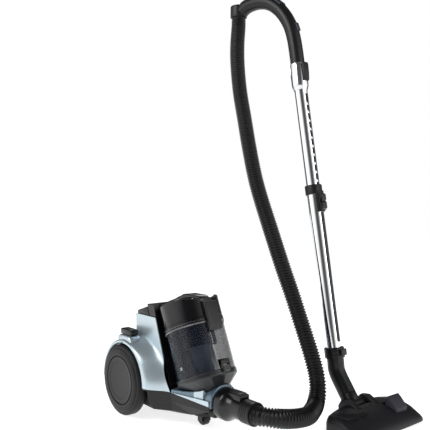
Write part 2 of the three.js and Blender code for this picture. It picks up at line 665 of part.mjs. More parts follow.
const CUP_BORE = CUP_RADIUS - CUP_WALL;
add(cup, 'cyclone_cone', INNER, turned(
  [[16, BASE_HEIGHT + 4], [30, 100], [30, 137], [28, 137], [28, 100], [14, BASE_HEIGHT + 4]], 28,
));
add(cup, 'cyclone_shroud', BLACK, tube(44, 42, 92, 137, 32));
add(cup, 'filter_frame', BLACK, turned(
  [[20, LID_FROM - 2.7], [CUP_BORE - GAP - 1, LID_FROM - 2.7], [CUP_BORE - GAP - 1, LID_FROM + 16],
    [CUP_BORE - GAP - 3, LID_FROM + 16], [CUP_BORE - GAP - 3, LID_FROM + 1.4], [20, LID_FROM + 1.4]], 36,
));
add(cup, 'motor_filter', FILTER, rod(CUP_BORE - 5, LID_FROM + 2, LID_FROM + 26, 32));

const LEVER_PIVOT = [CUP_RADIUS + 6, BASE_HEIGHT + 2]; // base hinge, in front of the cup

function cupBase() {
  const mouth = rod(CUP_RADIUS - 3, BASE_TAPER, BASE_HEIGHT + 10, 40);
  const shell = cut(baseLoft(0), cut(baseLoft(-WALL), rod(200, BASE_TAPER, 200)), mouth);
  const lug = slab([[CUP_RADIUS - 2, BASE_HEIGHT - 10], [LEVER_PIVOT[0] + 4, BASE_HEIGHT - 6],
    [LEVER_PIVOT[0] + 4, BASE_HEIGHT + 6], [LEVER_PIVOT[0] - 3.6, BASE_HEIGHT + 6],
    [LEVER_PIVOT[0] - 3.6, BASE_HEIGHT], [CUP_RADIUS - 2, BASE_HEIGHT]], -9, 9);
  const bore = alongY(rod(2, -30, 30, 16)).translate(LEVER_PIVOT[0], 0, LEVER_PIVOT[1]);
  return cut(join(shell, lug), bore);
}

function hingeBracket() {
  const arm = (from, to) => slab([[CUP_RADIUS - 2, BASE_HEIGHT + 8], [LEVER_PIVOT[0] - 3, BASE_HEIGHT - 2],
    [LEVER_PIVOT[0] + 4, BASE_HEIGHT - 2], [LEVER_PIVOT[0] + 4, BASE_HEIGHT + 18],
    [CUP_RADIUS - 2, BASE_HEIGHT + 22]], from, to);
  const bridge = slab([[CUP_RADIUS - 2, BASE_HEIGHT + 9], [LEVER_PIVOT[0] + 4, BASE_HEIGHT + 9],
    [LEVER_PIVOT[0] + 4, BASE_HEIGHT + 18], [CUP_RADIUS - 2, BASE_HEIGHT + 22]], -13, 13);
  const bore = alongY(rod(1.7, -30, 30, 16)).translate(LEVER_PIVOT[0], 0, LEVER_PIVOT[1]);
  const round = rod(CUP_RADIUS - 1, 0, 200, 40);
  return cut(join(arm(9.6, 13), arm(-13, -9.6), bridge), bore, round);
}

add(cup, 'cup_base', BLACK, cupBase());
add(cup, 'cup_body', SMOKED, join(
  tube(CUP_RADIUS, CUP_BORE, BASE_HEIGHT + GAP, LID_FROM - GAP, 40), hingeBracket(),
));
add(cup, 'base_hinge_pin', STEEL, alongY(rod(1.6, -13, 13, 16))
  .translate(LEVER_PIVOT[0], 0, LEVER_PIVOT[1]));

// Lid: a ring wall with a sunk floor, bridged by the carry handle, and a prow in front.
const level = (height) => new THREE.BoxGeometry(600, 400, 200)
  .translate(CUP_FOOT[0], 0, height + 100).applyMatrix4(cup.matrix.clone().invert());

function cupLid() {
  const wall = turned([
    [CUP_BORE, LID_FROM], [LID_RADIUS + 1, LID_FROM], [LID_RADIUS + 1, LID_FROM + 11],
    [LID_RADIUS, LID_FROM + 13], [LID_RADIUS, LID_TO - 5], [LID_RADIUS - 5, LID_TO],
    [LID_RADIUS - 9, LID_TO], [LID_RADIUS - 9, LID_FLOOR + 3], [0, LID_FLOOR + 3], [0, LID_FLOOR],
    [CUP_BORE - 1, LID_FLOOR],
  ], 40);
  const prow = slab([[LID_RADIUS - 3, LID_FROM + 14], [CUP_RADIUS + 1.2, LID_FROM - 24],
    [CUP_RADIUS + 8, LID_FROM - 26], [CUP_RADIUS + 13, LID_FROM - 10], [CUP_RADIUS + 13, LID_TO],
    [LID_RADIUS - 3, LID_TO]], -19, 19);
  const clear = rod(CUP_RADIUS + 1, 0, LID_FROM - GAP, 40);
  const front = cut(prow, clear, level(LID_LEVEL - 4));
  return join(cut(wall, level(LID_LEVEL)), front);
}

function carryHandle() {
  const rear = -LID_RADIUS + 3;
  const outline = [[rear, LID_TO + GAP], [-36, LID_TO + 17], [40, LID_TO + 8], [LID_RADIUS - 6, LID_TO - 15],
    [LID_RADIUS - 14, LID_TO - 20], [34, LID_TO - 4], [-30, LID_TO + 5], [rear + 12, LID_TO + GAP]];
  const bar = slab(outline, -HANDLE_HALF_WIDTH, HANDLE_HALF_WIDTH);
  const foot = rod(LID_RADIUS - 9 - GAP, LID_TO - 40, LID_TO + 60, 40);
  const wall = cut(rod(LID_RADIUS + 1, LID_TO - 30, LID_TO + GAP, 40), foot);
  const well = block([-26, -8.6, LID_TO + 8], [0, 8.6, LID_TO + 40]);
  return cut(bar, level(HANDLE_TOP), wall, well);
}

add(cup, 'cup_lid', BLACK, cupLid());
add(cup, 'carry_handle', BLACK, carryHandle());
add(cup, 'cup_release_button', SATIN, block([-25.4, -8, LID_TO + 11], [-0.6, 8, LID_TO + 18]));

// ---- Hose, connector and cuff -----------------------------------------------------------------

function hoseConnector() {
  const from = COLLAR_TO + GAP;
  const body = inInlet(turned([
    [DUCT_BORE, from], [BELL_RADIUS - 2.5, from], [BELL_RADIUS, from + 4], [BELL_RADIUS, 285],
    [BELL_RADIUS - 6, 296], [NECK_RADIUS + 1, 307], [NECK_RADIUS, NECK_TO], [DUCT_BORE, NECK_TO],
  ], 36));
  const housing = block([288, -14, INLET_HEIGHT + 20], [332, 14, INLET_HEIGHT + 33]);
  const pocket = block([291, -11.2, INLET_HEIGHT + 27], [329, 11.2, INLET_HEIGHT + 60]);
  return cut(join(body, housing), pocket);
}

add(machine, 'hose_connector', BLACK, hoseConnector());
add(machine, 'connector_latch', SATIN, block(
  [291.6, -10.6, INLET_HEIGHT + 30.5], [328.4, 10.6, INLET_HEIGHT + 37],
));
add(machine, 'hose_cuff', SATIN, inInlet(tube(CUFF_RADIUS, DUCT_BORE, NECK_TO + 0.5, CUFF_TO, 32)));
add(machine, 'hose', RUBBER, sweep(HOSE_ROUTE, HOSE_DIAMETER / 2, HOSE_SIDES / 2, HOSE_STEPS, HOSE_BORE / 2));

// ---- Wand, upright in its own group -----------------------------------------------------------

const INNER_TUBE_PROFILE = [
  [INNER_BORE, INNER_FROM], [INNER_RADIUS, INNER_FROM], [INNER_RADIUS, SWELL_FROM],
  [SWELL_RADIUS - 1, SWELL_FROM + 12], [SWELL_RADIUS, SWELL_FROM + 20], [SWELL_RADIUS, WAND_LENGTH],
  [INNER_BORE, WAND_LENGTH],
];
const RACK = { from: OUTER_TO + 18, to: SWELL_FROM - 10, pitch: 23, halfWidth: 4, depth: 1.6 };

function upperTube() {
  const groove = block([INNER_RADIUS - RACK.depth - GAP, -RACK.halfWidth - GAP, INNER_FROM - 9],
    [INNER_RADIUS + 9, RACK.halfWidth + GAP, RACK.to + GAP]);
  return cut(turned(INNER_TUBE_PROFILE, 32), groove);
}

function toothRack() {
  const strip = block([INNER_RADIUS - RACK.depth, -RACK.halfWidth, INNER_FROM], [INNER_RADIUS - 0.2,
    RACK.halfWidth, RACK.to]);
  const notches = [];
  for (let height = RACK.from; height < RACK.to - RACK.pitch / 2; height += RACK.pitch) {
    notches.push(block([INNER_RADIUS - 0.9, -9, height], [INNER_RADIUS + 9, 9, height + 7]));
  }
  return cut(strip, ...notches);
}

function wandCollar() {
  const ring = tube(SWELL_RADIUS, OUTER_RADIUS + GAP, OUTER_TO - 60, OUTER_TO + GAP - COLLAR_HEIGHT, 32);
  const rim = tube(SWELL_RADIUS, INNER_RADIUS + RUNNING, OUTER_TO + GAP, OUTER_TO + COLLAR_HEIGHT, 32);
  const skirt = tube(SWELL_RADIUS, OUTER_RADIUS + GAP, OUTER_TO - COLLAR_HEIGHT - 1, OUTER_TO + 1, 32);
  const front = block([0, -14, OUTER_TO - 62], [60, 14, OUTER_TO - COLLAR_HEIGHT + GAP]);
  const rail = block([SWELL_RADIUS - 1, -9, OUTER_TO - 58], [SWELL_RADIUS + 3, 9, OUTER_TO - 6]);
  const guide = cut(join(keep(ring, front), rail), rod(OUTER_RADIUS + GAP, 0, WAND_LENGTH, 32));
  return join(rim, skirt, guide);
}

function telescopeLatch() {
  const from = OUTER_TO - 56;
  const x = SWELL_RADIUS + 3 + GAP;
  return slab([[x, from], [x + 6, from + 3], [x + 6.5, from + 18], [x + 3, from + 22], [x + 6.5, from + 26],
    [x + 6, from + 40], [x, from + 43]], -8.5, 8.5);
}

function handleRelease() {
  const from = WAND_LENGTH - 52;
  return slab([[SWELL_RADIUS + GAP, from], [SWELL_RADIUS + 4, from + 4], [SWELL_RADIUS + 7, WAND_LENGTH - 6],
    [SWELL_RADIUS + 5, WAND_LENGTH - 1], [SWELL_RADIUS + GAP, WAND_LENGTH - 1]], -10, 10);
}

const TRACK_FROM = 14;
add(wand, 'wand_upper_tube', CHROME, upperTube());
add(wand, 'tooth_rack', STEEL, toothRack());
add(wand, 'handle_release', SATIN, handleRelease());
add(wand, 'wand_lower_tube', CHROME, tube(OUTER_RADIUS, OUTER_BORE, -24, OUTER_TO, 32));
add(wand, 'wand_collar', SATIN, wandCollar());
add(wand, 'telescope_latch', BLACK, telescopeLatch());
add(wand, 'track_strip', BLACK, block(
  [OUTER_RADIUS + GAP, -TRACK_WIDTH / 2, TRACK_FROM], [OUTER_RADIUS + 1.5, TRACK_WIDTH / 2, OUTER_TO - 61],
));

// ---- Handle, in its own upright plane ---------------------------------------------------------

const inPlane = (route) => route.map(([x, z]) => [x, 0, z]);

// A place on the outer side of the limb, with local Z along the limb.
const SLIDER_AT = [-18.6, 0, 95];
const SLIDER_LEAN = THREE.MathUtils.degToRad(-20);
const SLIDER_HALF_LENGTH = 12;
const SLIDER_TRAVEL = 14;
const atSlider = (geometry) => geometry.rotateY(SLIDER_LEAN).translate(...SLIDER_AT);

function handleShell() {
  const route = [[2, 0, -12], ...inPlane(HANDLE_ROUTE.slice(1))];
  const limb = sweep(route, HANDLE_RADIUS, 7, 18);
  const airway = sweep([[3, 0, -20], ...route], HANDLE_BORE, 6, 18);
  const below = new THREE.BoxGeometry(200, 200, 100)
    .translate(0, 0, GAP - 50).rotateY(-WAND_TILT).rotateZ(-HANDLE_TURN);
  const [x, z] = SOCKET_FROM;
  const socket = rod(SOCKET_RADIUS, z, z + SOCKET_LENGTH, 24).translate(x, 0, 0);
  const socketBore = rod(HOSE_BORE / 2, z - 1, z + SOCKET_LENGTH - WALL, 24).translate(x, 0, 0);
  const slot = atSlider(block([14.4, -5.9, -SLIDER_HALF_LENGTH - 1],
    [40, 5.9, SLIDER_HALF_LENGTH + SLIDER_TRAVEL + 1]));
  return cut(join(limb, socket), below, airway, socketBore, slot);
}

function gripInsert() {
  const route = [[-57.7, 160], [-90, 185], [-125, 196], [-158, 196], [-180, 189]];
  const band = sweep(inPlane(route), HANDLE_RADIUS + 3.4, 7, 8);
  const core = sweep(inPlane(HANDLE_ROUTE.slice(3)), HANDLE_RADIUS + GAP + 0.4, 7, 18);
  const outer = offsetRow(route, -60);
  const wedge = slab([...route, ...outer.reverse()], -14, 14);
  return cut(keep(band, wedge), core);
}

add(handle, 'handle_shell', SATIN, handleShell());
add(handle, 'grip_insert', GRIP, gripInsert());
add(handle, 'suction_slider', GRIP, atSlider(
  block([15, -5.3, -SLIDER_HALF_LENGTH], [23.5, 5.3, SLIDER_HALF_LENGTH]),
));

// ---- Floor head, centred on its own group -----------------------------------------------------

const atPivot = (geometry) => alongY(geometry).translate(PIVOT[0], 0, PIVOT[1]);

// Side sections across the head: [sideways, rear, front, height].
const HEAD_SECTIONS = [
  [1, HEAD_REAR + 22, HEAD_FRONT - 18, 26], [0.97, HEAD_REAR + 14, HEAD_FRONT - 6, 36],
  [0.85, HEAD_REAR + 4, HEAD_FRONT - 1, HEAD_HEIGHT - 5], [0.4, HEAD_REAR - 6, HEAD_FRONT, HEAD_HEIGHT],
];

const PEDAL_PIVOT = [483, 32];
const WHEEL_AT = [415, 92]; // forward and sideways

function headRing([side, rear, front, top], sign, inset) {
  const y = sign * (side * HEAD_HALF_WIDTH - (side === 1 ? inset : 0));
  const low = inset ? -10 : 6;
  const crown = top - inset;
  return [[rear + inset, low], [rear + inset, crown * 0.7], [rear + 10 + inset, crown], [rear + 44, crown],
    [front - 34, crown * 0.84], [front - 9 - inset, crown * 0.5], [front - inset, crown * 0.26],
    [front - inset, low]].map(([x, z]) => [x, y, z]);
}

const headLoft = (inset) => loft([
  ...HEAD_SECTIONS.map((section) => headRing(section, 1, inset)),
  ...[...HEAD_SECTIONS].reverse().map((section) => headRing(section, -1, inset)),
]);

function headCover() {
  const shell = cut(headLoft(0), headLoft(WALL));
  const cheek = slab([[PIVOT[0] - 14, 14], [PIVOT[0] - 16, 44], [PIVOT[0] - 6, HUMP_TOP - 2],
    [PIVOT[0] + 14, HUMP_TOP], [PIVOT[0] + 60, 40], [PIVOT[0] + 60, 14]], YOKE_HALF_WIDTH + 1, HUMP_HALF_WIDTH);
  const slot = block([300, -YOKE_HALF_WIDTH - 1, 9], [PIVOT[0] + 26, YOKE_HALF_WIDTH + 1, 100]);
  const pinBore = atPivot(rod(5.3, -HUMP_HALF_WIDTH + 6, HUMP_HALF_WIDTH - 6, 20));
  const pedalWell = block([PEDAL_PIVOT[0] - 38, 42, 12], [PEDAL_PIVOT[0] + 6, 88, 80]);
  const ear = join(block([WHEEL_AT[0] - 5, WHEEL_AT[1] - 11, 5], [WHEEL_AT[0] + 5, WHEEL_AT[1] - 6, 43]),
    alongY(rod(2.4, WHEEL_AT[1] - 8, WHEEL_AT[1] + 5, 12)).translate(WHEEL_AT[0], 0, HEAD_WHEEL_RADIUS));
  return join(cut(join(shell, cheek, mirrored(cheek)), slot, pinBore, pedalWell), ear, mirrored(ear));
}

const BRISTLE_X = 452;

function rockerPedal() {
  const [x, z] = PEDAL_PIVOT;
  return slab([[x - 28, z - 8], [x - 30, z + 26], [x - 21, z + 36], [x - 12, z + 28], [x + 4, z + 10],
    [x + 4, z - 2], [x - 5, z - 8]], 43, 87);
}

function solePlate() {
  const plate = block([HEAD_REAR + 26, -HEAD_HALF_WIDTH + 8, 0.6], [HEAD_FRONT - 22, HEAD_HALF_WIDTH - 8, 5.7]);
  const mouth = block([462, -92, -5], [480, 92, 20]);
  const bristleSlot = block([BRISTLE_X - 3, -100, -5], [BRISTLE_X + 3, 100, 20]);
  return cut(plate, mouth, bristleSlot);
}

function yoke() {
  const barrel = atPivot(rod(PIVOT_RADIUS, -YOKE_HALF_WIDTH + GAP, YOKE_HALF_WIDTH - GAP, 28));
  const neck = rod(ELBOW_RADIUS, -40, -GAP, 28).rotateY(-SEAM_TILT).translate(SEAM[0], 0, SEAM[1]);
  const trimmed = keep(neck, slab([[330, 20], [PIVOT[0] + 8, 20], [PIVOT[0] + 8, 90], [330, 90]], -40, 40));
  const trunnions = atPivot(rod(5, -HUMP_HALF_WIDTH + 7, HUMP_HALF_WIDTH - 7, 20));
  const airway = rod(ELBOW_BORE, -26, 9, 24).rotateY(-SEAM_TILT).translate(SEAM[0], 0, SEAM[1]);
  const chamber = atPivot(rod(PIVOT_RADIUS - WALL, WALL - YOKE_HALF_WIDTH, YOKE_HALF_WIDTH - WALL, 28));
  const mouth = block([PIVOT[0] + 4, WALL - YOKE_HALF_WIDTH, PIVOT[1] - 9],
    [PIVOT[0] + 30, YOKE_HALF_WIDTH - WALL,
    PIVOT[1] + 6]);
  return join(cut(join(barrel, trimmed), airway, chamber, mouth), cut(trunnions, chamber));
}

function elbow() {
  const lift = (length) => [SEAM[0] - length * Math.sin(SEAM_TILT), 0, SEAM[1] + length * Math.cos(SEAM_TILT)];
  const along = (s) => [WAND_FOOT[0] - s * Math.sin(WAND_TILT), 0, WAND_FOOT[2] + s * Math.cos(WAND_TILT)];
  return sweep([lift(GAP), lift(12), along(-58), along(-36), along(-26)], ELBOW_RADIUS, 8, 12, ELBOW_BORE);
}

add(head, 'head_cover', CHARCOAL, headCover());
add(head, 'sole_plate', BLACK, solePlate());
add(head, 'rocker_pedal', PEDAL, rockerPedal());
add(head, 'bristle_strip', RUBBER, block([BRISTLE_X - 2.4, -98, 2], [BRISTLE_X + 2.4, 98, 13.5]));
for (const [side, sign] of [['left', 1], ['right', -1]]) {
  const wheel = alongY(tube(HEAD_WHEEL_RADIUS, 2.8, -5, 5, 20)).translate(WHEEL_AT[0], sign * WHEEL_AT[1],
    HEAD_WHEEL_RADIUS);
  add(head, `head_wheel_${side}`, RUBBER, wheel);
}
add(head, 'yoke', SATIN, yoke());
add(head, 'elbow', SATIN, elbow());
add(wand, 'neck_socket', SATIN, join(
  tube(25, OUTER_RADIUS + GAP, -25.4, 0, 32), tube(24, ELBOW_BORE, -25.4, -24.3, 32),
));
add(wand, 'neck_release', BLACK, block([25.4, -10, -20], [32, 10, -4]));

// The origin lies under the middle of everything but the hose, at floor level.
const extent = new THREE.Box3();
machine.updateMatrixWorld(true);
machine.traverse((piece) => {
  if (piece.isMesh && piece.name !== 'hose') extent.expandByObject(piece, true);
});
const middle = extent.getCenter(new THREE.Vector3());
machine.position.set(-middle.x, -middle.y, -extent.min.z);

export default machine;
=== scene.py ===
# %% [markdown]
# # A bagless canister vacuum cleaner
# The solids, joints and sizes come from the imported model. Blender adds the visible skins and finishes.
# Every skin is drawn in millimetres in the frame of its own group (canister, cup, wand, handle or head)
# and then moved into the shared frame in metres, so its numbers read like a maker's drawing.

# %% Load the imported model
import json
import math

import bmesh
import bpy
from mathutils import Matrix, Vector


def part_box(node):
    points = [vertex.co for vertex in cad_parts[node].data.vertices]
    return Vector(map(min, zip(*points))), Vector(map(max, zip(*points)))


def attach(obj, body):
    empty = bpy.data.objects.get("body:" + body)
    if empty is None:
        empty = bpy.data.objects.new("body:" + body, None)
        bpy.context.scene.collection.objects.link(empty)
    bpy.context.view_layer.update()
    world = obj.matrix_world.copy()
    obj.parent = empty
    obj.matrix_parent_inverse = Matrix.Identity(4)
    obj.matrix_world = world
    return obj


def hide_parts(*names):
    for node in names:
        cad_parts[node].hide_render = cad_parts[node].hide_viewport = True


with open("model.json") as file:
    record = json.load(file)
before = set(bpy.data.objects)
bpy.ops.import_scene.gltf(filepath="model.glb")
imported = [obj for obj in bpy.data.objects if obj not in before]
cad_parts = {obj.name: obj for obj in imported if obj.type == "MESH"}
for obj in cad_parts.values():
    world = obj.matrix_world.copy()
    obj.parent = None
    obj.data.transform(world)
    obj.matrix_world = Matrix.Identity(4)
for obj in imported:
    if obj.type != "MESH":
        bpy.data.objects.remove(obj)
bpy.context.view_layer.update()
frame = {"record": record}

# %% [markdown]
# The groups of the machine each have a frame of their own. The middle of the rear axle gives the
# canister's frame, and the cup, the wand, the handle and the head lean or turn from there.

# %% Frames of the groups
left_wheel_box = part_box("wheel_left")
right_wheel_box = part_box("wheel_right")
AXLE_X = (left_wheel_box[0].x + left_wheel_box[1].x) / 2
MIDDLE_Y = (left_wheel_box[0].y + right_wheel_box[1].y) / 2
CANISTER = Matrix.Translation((AXLE_X, MIDDLE_Y, 0)) @ Matrix.Diagonal((0.001, 0.001, 0.001, 1))

CUP_TILT = math.radians(23.7)
WAND_TILT = math.radians(9.53)
HANDLE_TURN = math.radians(10.2)
WAND_LENGTH = 743
WAND_Y = 298
CUP_FOOT = (207, 97)
CUP = CANISTER @ Matrix.Translation((CUP_FOOT[0], 0, CUP_FOOT[1])) @ Matrix.Rotation(-CUP_TILT, 4, "Y")
WAND_FOOT = (334, 168.5)
WAND = CANISTER @ Matrix.Translation((WAND_FOOT[0], WAND_Y, WAND_FOOT[1])) @ Matrix.Rotation(-WAND_TILT, 4, "Y")
HANDLE_FOOT = CANISTER.inverted() @ WAND @ Vector((0, 0, WAND_LENGTH))
HANDLE = CANISTER @ Matrix.Translation(HANDLE_FOOT) @ Matrix.Rotation(HANDLE_TURN, 4, "Z")
HEAD = CANISTER @ Matrix.Translation((0, WAND_Y, 0))
print("handle foot in mm:", [round(value, 1) for value in HANDLE_FOOT])

# %% [markdown]
# ## Camera
# A low, level camera in front of the right side, at the height of the middle of the wand.

# %% Camera
camera_data = bpy.data.cameras.new("camera")
camera_data.lens = 49.4
camera_data.sensor_width = 36
camera = bpy.data.objects.new("camera", camera_data)
bpy.context.scene.collection.objects.link(camera)
camera.location = (1.091, -1.016, 0.5)
LOOK = Vector((-0.777, 0.629, 0))
camera.rotation_euler = LOOK.to_track_quat("-Z", "Y").to_euler()
bpy.context.scene.camera = camera
print("camera at", tuple(camera.location))

# %% [markdown]
# ## Helpers for shapes
# A skin is a pair of lists, points and faces. Lathed, lofted and swept skins cover nearly every moulded
# part here. Each closed skin is cleaned and turned outwards before several are put into one mesh.

# %% Skins from profiles, rings and routes
def lofted(rings, capped=True, closed=False):
    """Joins rings of equally many points. A closed loft joins its last ring to its first."""
    count = len(rings[0])
    points = [point for ring in rings for point in ring]
    faces = []
    for k in range(len(rings) if closed else len(rings) - 1):
        a, b = k * count, (k + 1) % len(rings) * count
        faces += [(a + i, a + (i + 1) % count, b + (i + 1) % count, b + i) for i in range(count)]
    if capped and not closed:
        faces += [tuple(range(count)), tuple(range(len(points) - count, len(points)))]
    return points, faces


def lathed(profile, segments=96):
    """Turns a closed profile of (radius, height) round Z."""
    turns = [2 * math.pi * k / segments for k in range(segments)]
    rings = [[(r * math.cos(t), r * math.sin(t), h) for r, h in profile] for t in turns]
    return lofted(rings, closed=True)


def block(low, high):
    (x0, y0, z0), (x1, y1, z1) = low, high
    ring = lambda z: [(x0, y0, z), (x1, y0, z), (x1, y1, z), (x0, y1, z)]
    return lofted([ring(z0), ring(z1)])


def slab(outline, from_y, to_y):
    """An outline of (x, z) points between two sides."""
    return lofted([[(x, y, z) for x, z in outline] for y in (from_y, to_y)])


def moved(skin, matrix):
    return [tuple(matrix @ Vector(p)) for p in skin[0]], skin[1]


def lathed_x(profile, height=0, segments=96):
    turn = Matrix.Translation((0, 0, height)) @ Matrix.Rotation(math.pi / 2, 4, "Y")
    return moved(lathed(profile, segments), turn)


def lathed_y(profile, x=0, y=0, z=0, segments=96):
    turn = Matrix.Translation((x, y, z)) @ Matrix.Rotation(-math.pi / 2, 4, "X")
    return moved(lathed(profile, segments), turn)


print("lathe of a square profile:", len(lathed([(1, 0), (2, 0), (2, 1), (1, 1)], 12)[1]), "faces")

# %% [markdown]
# A route of a few chosen points becomes a smooth curve that passes through all of them. The same rule
# (centripetal Catmull-Rom) shaped the CAD tubes, so the skins follow the solids.

# %% Smooth routes and swept tubes
def smooth_route(points, per_span=12):
    points = [Vector(p) for p in points]
    ends = [points[0] * 2 - points[1]] + points + [points[-1] * 2 - points[-2]]
    route = []
    for a, b, c, d in zip(ends, ends[1:], ends[2:], ends[3:]):
        ta, tb, tc = ((q - p).length ** 0.5 for p, q in ((a, b), (b, c), (c, d)))
        start = ((b - a) / ta - (c - a) / (ta + tb) + (c - b) / tb) * tb
        end = ((c - b) / tb - (d - b) / (tb + tc) + (d - c) / tc) * tb
        for k in range(per_span):
            t = k / per_span
            route.append(b * (2 * t**3 - 3 * t**2 + 1) + start * (t**3 - 2 * t**2 + t)
                         + c * (3 * t**2 - 2 * t**3) + end * (t**3 - t**2))
    return route + [points[-1]]


def even_route(route, count):
    """The same route with its points evenly spaced."""
    runs = [0.0]
    for p, q in zip(route, route[1:]):
        runs.append(runs[-1] + (q - p).length)
    even, k = [], 0
    for step in range(count + 1):
        want = runs[-1] * step / count
        while k < len(runs) - 2 and runs[k + 1] < want:
            k += 1
        even.append(route[k].lerp(route[k + 1], (want - runs[k]) / (runs[k + 1] - runs[k])))
    return even, runs[-1]


def swept(route, section, sides=36):
    """Sweeps a circle along a route. section is a radius, or gives one for a share of the way."""
    radius = section if callable(section) else lambda share: section
    along = [(route[min(k + 1, len(route) - 1)] - route[max(k - 1, 0)]).normalized() for k in range(len(route))]
    side = along[0].orthogonal().normalized()
    rings = []
    for k, (centre, way) in enumerate(zip(route, along)):
        side = (side - way * side.dot(way)).normalized()
        other = way.cross(side)
        r = radius(k / (len(route) - 1))
        turns = [2 * math.pi * i / sides for i in range(sides)]
        rings.append([tuple(centre + side * (r * math.cos(t)) + other * (r * math.sin(t))) for t in turns])
    return lofted(rings)


print("route test:", len(smooth_route([(0, 0, 0), (1, 0, 0), (2, 1, 0)])), "points")

# %% [markdown]
# One function turns skins into a finished piece: it joins them, cuts pockets, rounds the edges with a
# bevel, bakes that into a plain mesh and moves the mesh into the shared frame. Then the piece rides
# on its body and stands for its CAD node.

# %% Finished pieces
SHARP_ANGLE = math.radians(38)


def mesh_of(name, skins):
    work = bmesh.new()
    for points, faces in skins:
        part = bmesh.new()
        corners = [part.verts.new(p) for p in points]
        for face in faces:
            part.faces.new([corners[k] for k in face])
        bmesh.ops.remove_doubles(part, verts=part.verts, dist=1e-4)
        bmesh.ops.dissolve_degenerate(part, edges=part.edges, dist=1e-5)
        bmesh.ops.recalc_face_normals(part, faces=part.faces)
        if part.calc_volume(signed=True) < 0:
            bmesh.ops.reverse_faces(part, faces=part.faces)
        flat = bpy.data.meshes.new("part")
        part.to_mesh(flat)
        work.from_mesh(flat)
        bpy.data.meshes.remove(flat)
        part.free()
    mesh = bpy.data.meshes.new(name)
    work.to_mesh(mesh)
    work.free()
    return mesh


def linked(name, mesh):
    obj = bpy.data.objects.new(name, mesh)
    bpy.context.scene.collection.objects.link(obj)
    return obj


def evaluated_mesh(obj):
    depsgraph = bpy.context.evaluated_depsgraph_get()
    return bpy.data.meshes.new_from_object(obj.evaluated_get(depsgraph), depsgraph=depsgraph)


def baked(obj):
    """Replaces an object's mesh by its modified mesh and removes the modifiers."""
    mesh = evaluated_mesh(obj)
    obj.modifiers.clear()
    obj.data = mesh
    mesh.name = obj.name
    return obj


def cut_with(obj, cutters, keep=False):
    for k, skin in enumerate(cutters):
        tool = linked(f"cutter_{k}", mesh_of("cutter", [skin]))
        step = obj.modifiers.new("cut", "BOOLEAN")
        step.operation = "INTERSECT" if keep else "DIFFERENCE"
        step.solver = "EXACT"
        step.object = tool
        baked(obj)
        bpy.data.objects.remove(tool)


def bevelled(obj, width, segments=3):
    step = obj.modifiers.new("round", "BEVEL")
    step.width = width
    step.segments = segments
    step.limit_method = "ANGLE"
    step.angle_limit = SHARP_ANGLE
    baked(obj)


def dress(obj, material, body, nodes, place, crease=36):
    obj.data.transform(place)
    obj.data.materials.clear()
    obj.data.materials.append(material)
    obj.data.shade_smooth()
    obj.data.set_sharp_from_angle(angle=math.radians(crease))
    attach(obj, body)
    if nodes:
        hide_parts(*nodes)
    return obj


def piece(name, skins, material, body, nodes=(), place=CANISTER, bevel=0, segments=3,
          within=(), cutters=(), wells=(), crease=36):
    """Trims to what lies within, cuts with cutters, rounds the edges, and cuts the wells sharp."""
    obj = linked(name, mesh_of(name, skins))
    cut_with(obj, within, keep=True)
    cut_with(obj, cutters)
    if bevel:
        bevelled(obj, bevel, segments)
    cut_with(obj, wells)
    return dress(obj, material, body, nodes, place, crease)


# %% [markdown]
# ## Finishes
# Nothing on a moulded machine is one flat colour. Each finish below drives roughness, bump and a slight
# drift of colour from noise in object coordinates, so the grain has a real size in metres.

# %% A finish from noise
SMEAR = 14
COAT_ROUGHNESS = 0.04
BUMP_HEIGHT = 0.001


def wired(tree, *pairs):
    """Links each output to the input beside it."""
    for source, target in pairs:
        tree.links.new(source, target)


def finish(name, colour, rough, drift=0.12, metallic=0.0, coat=0.0, grain=900, depth=0.04,
           rough_drift=0.08, shine=0.5):
    """drift and rough_drift spread colour and roughness by broad noise. grain and depth are the scale
    and the strength of the fine bump, and shine is the level of reflection."""
    material = bpy.data.materials.new(name)
    material.use_nodes = True
    nodes = material.node_tree.nodes
    shader = nodes["Principled BSDF"]
    shader.inputs["Metallic"].default_value = metallic
    shader.inputs["Coat Weight"].default_value = coat
    shader.inputs["Coat Roughness"].default_value = COAT_ROUGHNESS
    shader.inputs["Specular IOR Level"].default_value = shine
    place = nodes.new("ShaderNodeTexCoord")
    broad = nodes.new("ShaderNodeTexNoise")
    broad.inputs["Scale"].default_value = SMEAR
    broad.inputs["Detail"].default_value = 4
    fine = nodes.new("ShaderNodeTexNoise")
    fine.inputs["Scale"].default_value = grain
    fine.inputs["Detail"].default_value = 3
    tint = nodes.new("ShaderNodeMixRGB")
    tint.inputs[1].default_value = (*[c * (1 - drift) for c in colour], 1)
    tint.inputs[2].default_value = (*[min(1, c * (1 + drift)) for c in colour], 1)
    spread = nodes.new("ShaderNodeMapRange")
    spread.inputs["To Min"].default_value = max(0.0, rough - rough_drift)
    spread.inputs["To Max"].default_value = rough + rough_drift
    bump = nodes.new("ShaderNodeBump")
    bump.inputs["Strength"].default_value = depth
    bump.inputs["Distance"].default_value = BUMP_HEIGHT
    wired(material.node_tree,
          (place.outputs["Object"], broad.inputs["Vector"]), (place.outputs["Object"], fine.inputs["Vector"]),
          (broad.outputs["Fac"], tint.inputs[0]), (tint.outputs[0], shader.inputs["Base Color"]),
          (broad.outputs["Fac"], spread.inputs["Value"]),
          (spread.outputs["Result"], shader.inputs["Roughness"]),
          (fine.outputs["Fac"], bump.inputs["Height"]), (bump.outputs["Normal"], shader.inputs["Normal"]))
    return material


# %% [markdown]
# The ice-blue shell is metallic paint under a clear coat: tiny flakes tilt the surface a little, and the
# coat stays smooth above them. The blacks differ mainly in gloss, from the mirror-like lid to the
# grained floor head.

